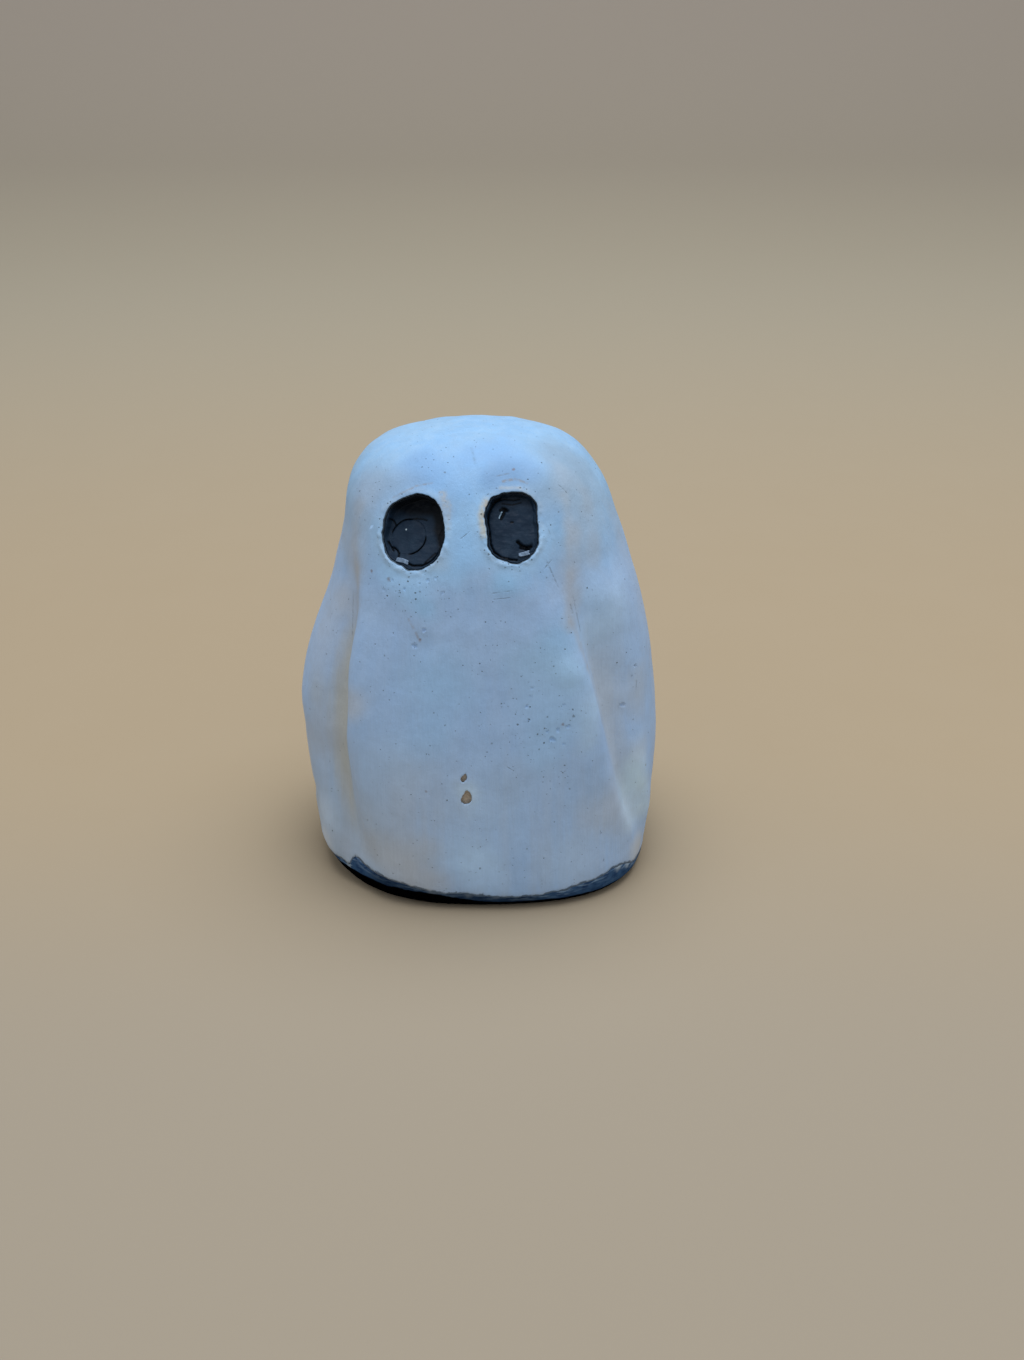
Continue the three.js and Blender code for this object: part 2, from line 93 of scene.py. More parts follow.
# Folds: size in millimetres, then rows of height share, turn, strength, width to the left and right.
FOLDS = {
    "left_fold": (-LEFT_FOLD, [
        (0.86, -70, 0, 6, 3), (0.78, -64, 0.15, 6, 3), (0.7, -58.5, 0.4, 5.5, 2.4),
        (0.64, -55.5, 0.65, 5, 2.2), (0.59, -55.5, 0.85, 4.8, 2.2), (0.54, -55.5, 0.95, 4.8, 2.3),
        (0.44, -55, 1, 5, 2.8), (0.32, -54.8, 0.95, 5, 3.3), (0.24, -53.5, 0.85, 4.8, 3.8),
        (0.15, -51, 0.65, 4.6, 4.4), (0.08, -48.5, 0.4, 5, 4.6), (0, -47, 0, 5, 4),
    ]),
    "left_crest": (LEFT_CREST, [
        (0.72, -52, 0, 2, 5), (0.62, -50, 1, 2, 5), (0.54, -49.5, 0.9, 2.2, 5), (0.42, -49, 0.5, 3, 5),
        (0.3, -48.5, 0.25, 4, 5), (0.17, -46, 0, 4, 5),
    ]),
    "right_fold": (-RIGHT_FOLD, [
        (0.8, 35, 0, 4, 5), (0.71, 39, 0.12, 3.6, 6), (0.63, 42.5, 0.45, 3.2, 6),
        (0.56, 45, 0.9, 2.6, 5.5), (0.5, 46.5, 1, 2.4, 5), (0.44, 48, 0.95, 2.4, 4),
        (0.34, 50.5, 0.75, 2.4, 3), (0.25, 54, 0.6, 2.4, 2.6), (0.17, 58.5, 0.4, 2.4, 2.6),
        (0.08, 64, 0, 2.4, 2.6),
    ]),
    "right_crest": (RIGHT_CREST, [
        (0.78, 27, 0, 6, 3), (0.7, 30, 0.4, 6, 3), (0.56, 35, 1, 6, 2.6), (0.44, 38.5, 1, 6, 2.6),
        (0.33, 41.5, 0.8, 6, 2.6), (0.22, 47, 0.5, 6, 2.6), (0.1, 56, 0, 6, 2.6),
    ]),
    "right_hem_lip": (RIGHT_HEM_LIP, [
        (0.42, 54, 0, 2, 4), (0.33, 56, 0.7, 2, 4), (0.24, 60, 1, 2, 4), (0.16, 64.5, 0.9, 2, 4),
        (0.07, 69, 0, 2, 4),
    ]),
    "shoulder_bump": (SHOULDER_BUMP, [
        (0.78, 50, 0, 4, 5), (0.685, 52, 1, 4, 5), (0.59, 53, 0, 4, 5),
    ]),
    "left_side_fold": (-SIDE_FOLD, [
        (0.72, -112, 0, 5, 5), (0.5, -114, 0.8, 5, 5), (0.28, -117, 1, 5, 5), (0.03, -120, 0, 5, 5),
    ]),
    "right_side_fold": (-SIDE_FOLD, [
        (0.7, 115, 0, 5, 5), (0.45, 118, 1, 5, 5), (0.24, 120, 0.8, 5, 5), (0.02, 122, 0, 5, 5),
    ]),
    "back_right_fold": (-BACK_FOLD, [
        (0.8, 168, 0, 5, 6), (0.6, 165, 0.5, 5, 6), (0.35, 160, 1, 5, 7), (0.12, 156, 0.8, 5, 7),
        (0, 154, 0, 5, 7),
    ]),
    "back_left_fold": (-BACK_FOLD, [
        (0.68, -152, 0, 6, 5), (0.45, -154, 0.8, 6, 5), (0.2, -158, 1, 7, 5), (0.02, -161, 0, 7, 5),
    ]),
}
# folds whose valleys the coat's finish darkens with painted shade
SHADED_FOLDS = ("left_fold", "right_fold", "left_side_fold", "right_side_fold", "back_right_fold",
                "back_left_fold")

# Small lumps and dents left by fingers and tools: turn, height, how far out, radius
LUMPS = [
    (-30, 55, 0.45, 3.2), (11, 56.3, 0.4, 3), (-8, 66, 0.25, 3), (31, 42, 0.4, 2.2), (49, 53, 0.15, 2.6),
    (53, 38, -0.35, 2.4), (-27, 50, 0.25, 2.4), (-22, 47, -0.3, 2), (22, 31, -0.22, 3),
    (16, 70.5, -0.25, 2.2), (-12, 70, 0.2, 4.5), (48, 70, 0.35, 4), (-62, 12, 0.5, 4),
    (-88, 8.5, 0.5, 3.5), (-150, 74.2, -0.45, 6), (140, 74.2, -0.3, 5), (-58, 28, 0.3, 3.4),
    (140, 58, 0.35, 5), (-140, 40, -0.35, 5), (178, 66, -0.3, 5), (95, 30, 0.3, 4.5), (-100, 52, 0.3, 4.5),
]

# The brushed line between the white coat and the navy foot: turn, height
HEM = [
    (-180, 3.4), (-130, 3), (-90, 3.6), (-66, 3.2), (-58, 4.1), (-53.5, 3.6), (-50.5, 6), (-46, 5.2),
    (-41, 5), (-33, 4.6), (-27, 4), (-16, 3.2), (-5, 3), (3, 2.7), (12, 2.4), (22, 2.6), (30, 3.3),
    (37, 3.8), (45, 4.4), (51, 4.5), (57, 3.1), (66, 2.8), (90, 3), (135, 3.6), (180, 3.4),
]

# Eyes: turn and height of the centre, outline to the right and up from it. The floor leans: it lies
# shallow below and deep above, and "floor" gives its depth at the middle and how much that grows
# for each millimetre to the right and up. "back" is how deep the lining reaches.
LEFT_EYE = {
    "turn": -31.5, "height": 63.75, "floor": (2.3, 0.03, 0.27), "back": 4.4, "seed": 11.0,
    "outline": [
        (0.1, 5.85), (2.5, 5.3), (3.8, 3.8), (4.65, 1.7), (5, -0.4), (4.6, -2.6), (3.8, -4.2),
        (2, -5.5), (0.1, -5.9), (-1.7, -5.3), (-3.5, -4.4), (-4.5, -2.9), (-5, -0.8),
        (-4.9, 1.7), (-4.5, 3.2), (-3.2, 4.5), (-1.5, 5.3),
    ],
}
RIGHT_EYE = {
    "turn": 13.6, "height": 64.6, "floor": (1.45, -0.07, 0.12), "back": 3.4, "seed": 37.0,
    "outline": [
        (0.4, 5.4), (2, 5.3), (3.3, 4.75), (4.15, 3.6), (4.3, 2.5), (4.2, 1.0), (4.3, -1),
        (4.2, -2.7), (3.5, -3.9), (2.4, -4.9), (0.7, -5.6), (-1, -5.1), (-2.6, -4.3), (-3.5, -2.9),
        (-3.6, -0.7), (-3.85, 1.8), (-3.45, 3.3), (-2.7, 4.5), (-1.3, 5.2),
    ],
}
# Cracks in the eyes' floors: points along the crack, half its width and its depth
LEFT_EYE["cracks"] = [
    ([(-4.3, -1.9), (-3.8, -2.5), (-3.2, -3.2)], 0.11, 0.3),
    ([(-3.3, -2.7), (-2.6, -3.1), (-2.2, -3.6), (-2.2, -4.2)], 0.12, 0.3),
    ([(4.6, -1.6), (3.9, -3.0), (3.1, -4.2), (1.9, -5.0), (0.3, -5.2), (-0.6, -4.9)], 0.13, 0.42),
    ([(3.5, -2.9), (2.7, -3.9), (2.2, -4.5)], 0.09, 0.15),
    ([(-4.4, 1.6), (-4.0, 1.2), (-3.6, 0.7)], 0.1, 0.22),
    ([(-1.7, 1.9), (-0.6, 2.12), (0.3, 2.16), (1.1, 2.05)], 0.1, 0.3),
    ([(3.9, 0.9), (3.6, -0.6), (3.9, -1.6)], 0.1, 0.16),
]
RIGHT_EYE["cracks"] = [
    ([(-1.0, 4.8), (-2.3, 3.9), (-3.05, 2.4), (-3.25, 1.0), (-3.1, -0.7)], 0.14, 0.4),
    ([(-3.1, -0.7), (-3.05, -2.3), (-2.6, -3.6), (-1.5, -4.5), (-0.2, -4.9), (0.8, -5.0)], 0.15, 0.45),
    ([(-1.9, 4.3), (-0.6, 4.6), (0.9, 4.3), (1.8, 4.5)], 0.12, 0.2),
    ([(-0.9, 3.9), (0.6, 3.6), (2.0, 3.9)], 0.1, 0.14),
    ([(-0.2, 2.75), (-0.5, 3.05), (-0.85, 3.1), (-1.2, 2.85)], 0.22, 0.4),
    ([(-0.5, 2.8), (-0.8, 2.2), (-1.2, 1.5)], 0.19, 0.35),
    ([(1.1, -2.2), (1.7, -2.8), (2.5, -3.1), (3.1, -3.0)], 0.22, 0.6),
    ([(1.5, -3.1), (2.2, -3.3), (2.8, -3.4)], 0.2, 0.5),
    ([(0.3, 0.9), (0.6, 0.9)], 0.12, 0.15),
]
# Where an eye's floor is painted black as the shadow of its rim: how far up it begins, over how much, and
# how far to the right
LEFT_EYE["shaded"], RIGHT_EYE["shaded"] = (2.0, 1.3, 2.5), (3.1, 2.6, 9.0)
# Where an eye's lining comes up nearest to the coat's surface: directions from the middle, in degrees
# from the right
LEFT_EYE["raised"], RIGHT_EYE["raised"] = (-95, -10), (110, 300)
PELLET_CENTRE = (-1.25, -0.8)
PELLET_RADIUS = 2.7
PELLET_THICKNESS = 0.8
# Where the pellet's edge stands open, above and on the right: directions from its centre, in degrees from
# the right
OPEN_ARCS = ((95, 172), (-75, 6))

# Chips through the coat
LOW_CHIP = {
    "turn": -6.3, "height": 21.6, "seed": 5.0,
    "outline": [(0.1, 1.3), (0.8, 0.4), (0.7, -0.7), (-0.2, -1.2), (-0.9, -0.5), (-0.5, 0.5)],
}
HIGH_CHIP = {
    "turn": -7.2, "height": 25.1, "seed": 8.0,
    "outline": [(0.3, 0.7), (0.5, 0), (-0.1, -0.8), (-0.5, -0.2), (-0.1, 0.4)],
}

# Pits in the coat: turn, height, radius, depth
PITS = [
    (-36.6, 56.2, 0.22, 0.12), (-22.5, 56.9, 0.26, 0.14), (-25.5, 56.4, 0.18, 0.12),
    (-19.5, 57.3, 0.2, 0.1), (-40, 54.5, 0.28, 0.12), (-22.8, 49.2, 0.32, 0.2), (-26, 46.5, 0.35, 0.22),
    (-31, 55.3, 0.22, 0.14), (-16.5, 55.1, 0.24, 0.14), (16, 37, 0.24, 0.18), (17.5, 38.6, 0.2, 0.15),
    (18, 40, 0.22, 0.15), (24.6, 31, 0.42, 0.3), (26.5, 32.6, 0.3, 0.2), (29.8, 33.1, 0.32, 0.22),
    (23, 32.4, 0.2, 0.15), (28.2, 30.2, 0.24, 0.16), (55, 33, 0.4, 0.3), (61, 39, 0.3, 0.2),
    (59, 37.4, 0.22, 0.15), (28.5, 37, 0.22, 0.15), (16.5, 34.5, 0.22, 0.15), (-88, 26, 0.35, 0.22),
    (120, 44, 0.4, 0.25), (132, 30, 0.32, 0.2), (-150, 55, 0.35, 0.22), (171, 40, 0.3, 0.2),
    (-122, 18, 0.35, 0.22),
]

# Soft patches where the coat is bluer, greyer or paler: turn, height, radius, strength, colour. Many are
# painted light and shade: painted highlights below and between the eyes, along the right ridge and on the
# right hem lip; painted shade on the forehead, round the tops of the eyes, on the head's right side and
# low on the front and left; and a painted reflection of the warm backdrop by the side outlines.
BLUE, GREY, PALE, TAN = (0.33, 0.63, 0.99), (0.45, 0.52, 0.66), (0.49, 0.69, 0.98), (0.5, 0.47, 0.43)
SKY, ASH, SAND = (0.37, 0.645, 1.0), (0.475, 0.545, 0.65), (0.55, 0.62, 0.72)
DUSK, DEEP, ICE = (0.3, 0.43, 0.6), (0.25, 0.485, 0.85), (0.395, 0.69, 1.08)
SHADE, CHALK = (0.2, 0.37, 0.64), (0.67, 0.9, 1.08)
TONE_AND_LIGHT_PATCHES = [
    # painted highlights below and between the eyes, along the right ridge and down the right side
    (-29, 55.5, 6, 0.85, ICE), (-37, 57.5, 4, 0.8, ICE), (-17, 58.5, 4.5, 0.9, ICE),
    (11, 57, 4.5, 0.7, BLUE), (-23, 52, 3, 0.5, BLUE), (-9, 63, 6.5, 0.95, (0.365, 0.67, 1.08)),
    (51, 50, 8.5, 0.95, (0.5, 0.74, 1.08)), (44, 53, 6, 0.8, (0.46, 0.7, 1.04)),
    (46, 47, 5, 0.7, (0.52, 0.76, 1.08)), (52, 43, 6, 0.6, PALE), (31, 42, 6.5, 0.9, (0.46, 0.74, 1.08)),
    (36, 36, 5.5, 0.9, (0.5, 0.74, 1.06)), (37, 30, 4, 0.6, (0.5, 0.72, 1)), (28, 48, 5, 0.5, BLUE),
    (21, 44, 7, 0.6, (0.4, 0.67, 1)), (24, 38, 9, 0.9, (0.425, 0.68, 1.05)), (-64, 50, 6, 0.6, ASH),
    (-44, 51, 5.5, 0.35, (0.38, 0.53, 0.74)), (-48, 35, 5, 0.6, SAND),
    (-66, 34, 7, 0.6, (0.47, 0.53, 0.59)), (-29, 26, 8, 0.4, PALE), (12, 25, 6, 0.5, (0.38, 0.53, 0.75)),
    (26, 31, 7, 0.5, SKY), (-19, 41, 10, 0.55, SKY), (-20, 33, 8, 0.4, SKY), (0, 20, 11, 0.4, PALE),
    # painted shade on the forehead, round the tops of the eyes and on the head's sides
    (61, 34, 6, 0.4, (0.55, 0.59, 0.62)), (-42, 72, 7, 0.8, DEEP), (-12, 73, 8, 0.85, DEEP),
    (15, 73, 8, 0.85, DEEP), (34, 71, 6, 0.8, DEEP), (-40, 68.5, 6, 0.9, DEEP), (-18, 70, 6, 0.6, DEEP),
    (4, 70, 4, 0.5, DEEP), (-38, 70.5, 5, 0.6, SHADE), (-43, 66.3, 4, 0.8, SHADE),
    (-20, 66.5, 3, 0.6, SHADE), (-18, 62.5, 3, 0.35, SHADE), (18, 70.6, 5.5, 0.7, SHADE),
    (30, 67.3, 4, 0.95, SHADE), (38, 66, 5, 0.5, DEEP), (5, 70.5, 3, 0.35, SHADE), (-47, 69, 5, 0.6, DUSK),
    (-60, 69, 8, 0.7, DUSK), (-42, 65.5, 3.5, 0.5, DUSK), (31, 68, 4, 0.4, DUSK),
    (43, 69.5, 8, 0.8, (0.29, 0.44, 0.62)), (62, 72, 7, 0.85, (0.29, 0.44, 0.62)),
    (56, 67, 8, 0.5, (0.32, 0.44, 0.58)), (44, 60, 7, 0.4, (0.34, 0.47, 0.62)), (36, 58, 6, 0.3, GREY),
    (-62, 62, 9, 0.35, GREY), (-72, 43, 11, 0.5, ASH), (-66, 26, 9, 0.5, ASH), (-60, 56, 6, 0.4, ASH),
    (-35, 28, 7, 0.3, PALE), (-66, 11, 6.5, 0.9, (0.57, 0.74, 0.98)), (-68, 6, 5, 0.9, (0.66, 0.76, 0.9)),
    # painted shade, warmed by the floor's bounce, low on the front and left
    (-27, 20, 12, 0.3, SAND), (-40, 12, 9, 0.4, SAND), (-27, 8, 7, 0.6, SAND),
    (-40, 9.5, 6, 0.5, (0.47, 0.5, 0.53)), (-25, 11, 6, 0.4, (0.47, 0.52, 0.58)),
    (-19, 6, 6, 0.6, (0.5, 0.55, 0.62)), (-54, 7, 4, 0.5, (0.4, 0.47, 0.58)), (46, 17, 8, 0.5, SAND),
    # a painted reflection of the warm backdrop by the side outlines, then painted highlights on the right hem
    # lip
    (76, 60, 9, 0.3, ASH), (80, 48, 9, 0.3, ASH), (82, 36, 9, 0.3, ASH), (-82, 60, 9, 0.3, ASH),
    (-86, 24, 9, 0.3, SAND), (60, 18, 6.5, 0.9, CHALK), (58, 24, 5, 0.7, (0.57, 0.71, 0.88)),
    (62, 13, 6, 0.9, (0.66, 0.87, 1.08)), (55, 15, 4, 0.6, (0.63, 0.82, 1.06)), (57, 21, 4, 0.6, CHALK),
    (63, 5, 4.5, 0.8, (0.62, 0.66, 0.7)), (-3, 10, 8, 0.95, (0.5, 0.735, 1.06)),
    (1, 6.5, 5, 0.6, (0.47, 0.7, 1.06)), (-6, 22, 4, 0.4, CHALK), (30, 9, 8, 0.45, PALE),
    (-21, 66.5, 3, 0.3, TAN), (-19, 60, 3, 0.3, TAN),
]
# Soft bands of another colour: the turn and height of each end, half the width, strength, colour. The buff
# and tan ones along the folds and the right crest are painted shade on their sides turned from the light.
BUFF = (0.45, 0.5, 0.57)
BANDS = [
    ((-62, 65), (-57, 55.5), 2.4, 0.4, BUFF), ((-57, 55.5), (-53, 47), 2.2, 0.5, BUFF),
    ((-56, 56), (-52, 48), 0.8, 0.2, TAN), ((50, 71), (43, 63), 3.4, 0.3, BUFF),
    ((43, 63), (36, 55), 3.2, 0.4, BUFF), ((37, 56), (34, 50), 2.4, 0.35, BUFF),
    ((44, 68), (38, 60), 1.2, 0.16, TAN), ((36, 57), (32.5, 49), 1.2, 0.2, TAN),
    ((56, 67), (49, 58), 2.6, 0.3, BUFF), ((34, 50), (39, 42), 0.9, 0.3, TAN),
    ((39, 42), (44, 32), 0.9, 0.35, TAN), ((11, 69.7), (22, 69.6), 0.45, 0.45, (0.5, 0.52, 0.5)),
    ((22, 69.6), (27.5, 67.8), 0.4, 0.4, (0.55, 0.62, 0.68)),
]

# How far round each eye the coat's mesh follows the eye's outline, and how far down into it
EYE_APRON = (2.0, 1.75, 1.5, 1.28, 1.08, 0.9, 0.74, 0.6, 0.47, 0.36, 0.27, 0.19, 0.12, 0.06, 0.0)
EYE_WALL = (0.06, 0.16, 0.3, 0.5)
# How the coat swells round an eye: how far from the edge and over how much, least, and more below the eye
LIP_AWAY, LIP_WIDTH, LIP_HEIGHT, LIP_BELOW = 0.7, 0.75, 0.05, 0.14
EDGE_WEAR, EDGE_WIDTH = 0.09, 0.08  # how far the coat is rubbed down at the very edge, and over how much
EYE_RAGGED = (0.14, 0.95)  # how deep the nicks of an eye's edge are, and how long
WALL_FOOT = 0.64  # how far inside an eye's edge its floor begins
CHIP_POINTS = 60
CHIP_RAGGED = (0.06, 0.5)
BETWEEN_CHIPS = {"turn": -6.7, "height": 23.2}
HOLE_SPAN, HOLE_DEPTH = 12, 8  # what lies further than this from a hole's middle has nothing to do with it
NO_RIM = 9.0  # what a point far from the eyes has for its distance from their edges

# Clay
CLAY_TURNS = 180  # points round the clay
CLAY_ROWS = 90  # rings of them
BARE_CLAY = 6.5  # height over which the clay lies close under the white coat
BEHIND_EYE = 5.0  # how much deeper it lies behind an eye
JOINT = 0.05  # how far apart the clay and the foot's navy coat are


def hermite(b, c, before, after, share):
    """The smooth value at a share of the way from b to c, whose slopes lean on their neighbours."""
    s2, s3 = share**2, share**3
    return (b * (2 * s3 - 3 * s2 + 1) + (c - before) / 2 * (s3 - 2 * s2 + share)
            + c * (3 * s2 - 2 * s3) + (after - b) / 2 * (s3 - s2))


def rows_at(table, at):
    """The rows of a table at values of its first column, held at the ends."""
    rows = np.array(sorted(table), float)
    last = len(rows) - 1
    at = np.clip(at, rows[0, 0], rows[last, 0])
    low = np.clip(np.searchsorted(rows[:, 0], at, side="right") - 1, 0, last - 1)
    share = ((at - rows[low, 0]) / (rows[low + 1, 0] - rows[low, 0]))[:, None]
    return hermite(rows[low], rows[low + 1], rows[np.maximum(low - 1, 0)],
                   rows[np.minimum(low + 2, last)], share)


def rings_at(step):
    """Height, left, right, front, back in millimetres and the two square values, at steps of RINGS."""
    over = RINGS[CROWN - 1] * np.array([1, -1, -1, -1, -1, 1, 1])
    rings = np.vstack([RINGS, over])
    low = np.minimum(np.floor(step).astype(int), CROWN - 1)
    share = (step - low)[:, None]
    ring = hermite(rings[low], rings[low + 1], rings[np.maximum(low - 1, 0)], rings[low + 2], share)
    scale = np.array([HEIGHT, HALF_WIDTH / 100, HALF_WIDTH / 100, HALF_DEPTH / 100, HALF_DEPTH / 100, 1, 1])
    return ring * scale


STEP_TABLE = np.linspace(0, CROWN, 8001)
HEIGHT_TABLE = rings_at(STEP_TABLE)[:, 0]


def step_at(height):
    return np.interp(height, HEIGHT_TABLE, STEP_TABLE)


def wrapped(turn):
    return (turn + 180) % 360 - 180


def turn_of(points):
    return np.degrees(np.arctan2(points[:, 0], -points[:, 1]))


def circle(count):
    angle = np.linspace(0, 2 * math.pi, count, endpoint=False)
    return np.stack([np.cos(angle), np.sin(angle)], -1)


def fold_offset(turn, height, radius, names=None):
    """How far the folds push the sheet out or draw it in."""
    offset = np.zeros_like(turn)
    for name, (size, path) in FOLDS.items():
        if names is not None and name not in names:
            continue
        _, centre, strength, left, right = rows_at(path, height / HEIGHT).T
        aside = np.radians(wrapped(turn - centre)) * radius
        width = np.where(aside < 0, left, right)
        offset += size * np.maximum(strength, 0) * np.exp(-((aside / width) ** 2))
    return offset


def lump_offset(turn, height, radius):
    offset = np.zeros_like(turn)
    for lump_turn, lump_height, out, reach in LUMPS:
        aside = np.radians(wrapped(turn - lump_turn)) * radius
        offset += out * np.exp(-(aside**2 + (height - lump_height) ** 2) / reach**2)
    return offset


def plain_point(turn, step, folded=False):
    """Points of the figure, with or without its folds and lumps."""
    height, left, right, front, back, square_left, square_right = rings_at(step).T
    across, ahead = np.sin(np.radians(turn)), np.cos(np.radians(turn))
    side = np.maximum(np.where(across < 0, left, right), 1e-6)
    depth = np.maximum(np.where(ahead > 0, front, back), 1e-6)
    square = np.where(across < 0, square_left, square_right)
    radius = ((np.abs(across) / side) ** square + (np.abs(ahead) / depth) ** square) ** (-1 / square)
    reach = radius
    if folded:
        fade = np.minimum(radius / 8, 1)
        reach = radius + fold_offset(turn, height, radius) + fade * lump_offset(turn, height, radius)
    return np.stack([across * reach, -ahead * reach, height], -1)


def normal_at(turn, step):
    """The outward direction of the figure without its folds."""
    low, high = np.maximum(step - 0.1, 0), np.minimum(step + 0.1, CROWN)
    along = plain_point(turn + 3, step) - plain_point(turn - 3, step)
    up = plain_point(turn, high) - plain_point(turn, low)
    normal = np.cross(along, up)
    length = np.linalg.norm(normal, axis=-1, keepdims=True)
    normal = np.where(length > 1e-6, normal / np.maximum(length, 1e-9), [0, 0, 1])
    return np.where((step > CROWN - 0.1)[:, None], [0, 0, 1], normal)


def unevenness(points, size, seed):
    """A smooth random value from -1 to 1 at points in space or in a plane, for forms as large as size."""
    if points.shape[1] == 2:
        points = np.column_stack([points, np.zeros(len(points))])
    shift = Vector((seed * 7.3, seed * 3.1, seed * 5.7))
    return np.array([noise.noise(Vector(p) / size + shift) for p in points.tolist()])


def streaks(points, width, length, seed):
    """As unevenness, drawn out up and down."""
    squeezed = points * np.array([1 / width, 1 / width, 1 / length])
    return unevenness(squeezed, 1.0, seed)


def hand_worked(points, seed=0.0):
    """How far fingers and knife left the surface out of true, in millimetres."""
    return (0.3 * unevenness(points, 14, 1 + seed) + 0.1 * unevenness(points, 5, 2 + seed)
            + 0.1 * streaks(points, 3.2, 22, 3 + seed))


def sheet(turn, step, inset=0.0):
    """Points of a layer that lies an inset below the sheet's outer surface."""
    outward = np.stack([np.sin(np.radians(turn)), -np.cos(np.radians(turn)), np.zeros_like(turn)], -1)
    normal = normal_at(turn, step)
    slant = np.maximum((normal * outward).sum(-1, keepdims=True), 1e-6)
    towards_axis = (normal[:, :2] ** 2).sum(-1, keepdims=True) / slant
    points = plain_point(turn, step, folded=True)
    out = (hand_worked(points) - inset)[:, None]
    moved = points + outward * towards_axis * out
    moved[:, 2] += (normal[:, 2:] * out)[:, 0]
    return moved


class Seat:
    """A frame on the sheet: right and up along the surface, and out of it."""

    def __init__(self, place):
        turn = np.array([place["turn"]], float)
        self.turn, self.height = place["turn"], place["height"]
        step = step_at(np.array([place["height"]], float))
        self.origin = sheet(turn, step)[0]
        self.out = normal_at(turn, step)[0]
        self.right = np.cross([0, 0, 1], self.out)
        self.right /= np.linalg.norm(self.right)
        self.up = np.cross(self.out, self.right)

    def local(self, points):
        axes = np.stack([self.right, self.up, self.out], -1)
        return (points - self.origin) @ axes

    def world(self, flat, level):
        """Points a level above places in the seat's plane."""
        level = level + np.zeros(len(flat))
        return (self.origin + np.outer(flat[:, 0], self.right) + np.outer(flat[:, 1], self.up)
                + np.outer(level, self.out))

    def on_sheet(self, flat):
        """Turns and steps of the sheet's points that lie over places in the seat's plane."""
        turn = self.turn + flat[:, 0] * 2.4
        step = step_at(self.height + flat[:, 1] * 0.93)
        for _ in range(6):
            here = self.local(sheet(turn, step))[:, :2]
            by_turn = self.local(sheet(turn + 0.2, step))[:, :2] - here
            by_step = self.local(sheet(turn, step + 0.02))[:, :2] - here
            miss = flat - here
            det = by_turn[:, 0] * by_step[:, 1] - by_turn[:, 1] * by_step[:, 0]
            turn = turn + 0.2 * (miss[:, 0] * by_step[:, 1] - miss[:, 1] * by_step[:, 0]) / det
            step = step + 0.02 * (by_turn[:, 0] * miss[:, 1] - by_turn[:, 1] * miss[:, 0]) / det
        return turn, step


def smooth_outline(points, count):
    """A closed smooth outline of evenly spaced points through a few given ones.

    The few run clockwise and the many the other way, as the faces need them.
    """
    given = np.array(points, float)
    fine = []
    for i in range(len(given)):
        before, b, c, after = (given[(i + k) % len(given)] for k in (-1, 0, 1, 2))
        share = np.linspace(0, 1, 24, endpoint=False)[:, None]
        fine.append(hermite(b, c, before, after, share))
    fine = np.vstack(fine)
    closed = np.vstack([fine, fine[:1]])
    length = np.concatenate([[0], np.cumsum(np.linalg.norm(np.diff(closed, axis=0), axis=1))])
    at = np.linspace(0, length[-1], count, endpoint=False)
    return np.stack([np.interp(at, length, closed[:, k]) for k in (0, 1)], -1)[::-1]


def ragged(outline, amount, size, seed):
    """The outline with small nicks, each about as long as size."""
    nicks = unevenness(outline, size, seed) + 0.5 * unevenness(outline, size * 0.4, seed + 2)
    return let_out(outline, amount * nicks)


def let_out(outline, distance):
    """An outline moved outwards by a distance."""
    along = np.roll(outline, -1, axis=0) - np.roll(outline, 1, axis=0)
    outward = np.column_stack([along[:, 1], -along[:, 0]])
    outward /= np.linalg.norm(outward, axis=1, keepdims=True)
    return outline + outward * np.reshape(distance, (-1, 1))


def inside(outline, points):
    """Which points lie inside a closed outline."""
    x, y = points[:, 0][:, None], points[:, 1][:, None]
    x0, y0 = outline[:, 0][None], outline[:, 1][None]
    x1, y1 = np.roll(outline[:, 0], -1)[None], np.roll(outline[:, 1], -1)[None]
    crosses = (y0 > y) != (y1 > y)
    rise = np.where(np.abs(y1 - y0) < 1e-9, 1e-9, y1 - y0)
    return (crosses & (x < (x1 - x0) * (y - y0) / rise + x0)).sum(1) % 2 == 1


def ring_faces(rings, count, first=0, wrap=True):
    """Quads between rings of count points each."""
    ring, i = np.meshgrid(np.arange(rings - 1), np.arange(count if wrap else count - 1), indexing="ij")
    a = first + ring * count + i
    b = first + ring * count + (i + 1) % count
    return np.stack([a, b, b + count, a + count], -1).reshape(-1, 4)


def points_of(mesh):
    flat = np.empty(len(mesh.vertices) * 3)
    mesh.vertices.foreach_get("co", flat)
    return flat.reshape(-1, 3)


def write_values(mesh, name, values):
    """Gives each point of a mesh its own value, which a finish reads by name."""
    mesh.attributes.new(name, "FLOAT", "POINT").data.foreach_set("value", values.astype(np.float32))


def mesh_object(name, points_mm, faces, material):
    mesh = bpy.data.meshes.new(name)
    mesh.from_pydata((np.asarray(points_mm) * MM).tolist(), [], [list(map(int, f)) for f in faces])
    mesh.validate()
    mesh.materials.append(material)
    piece = bpy.data.objects.new(name, mesh)
    bpy.context.scene.collection.objects.link(piece)
    mesh.shade_smooth()
    return piece


def stacked(name, rings, start, end, material):
    """A closed piece from rings that run from a point on its axis, out and back to the axis."""
    count = len(rings[0])
    points = np.vstack([start[None], *rings, end[None]])
    last = len(points) - 1
    faces = ring_faces(len(rings), count, 1).tolist()
    for i in range(count):
        j = (i + 1) % count
        faces.append((0, 1 + j, 1 + i))
        faces.append((last, last - count + i, last - count + j))
    return mesh_object(name, points, faces, material)


def keep(piece, node):
    """Hangs a finished piece on the root, and hides the node that it stands for."""
    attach(piece, "root")
    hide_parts(node)


# Places round a hole

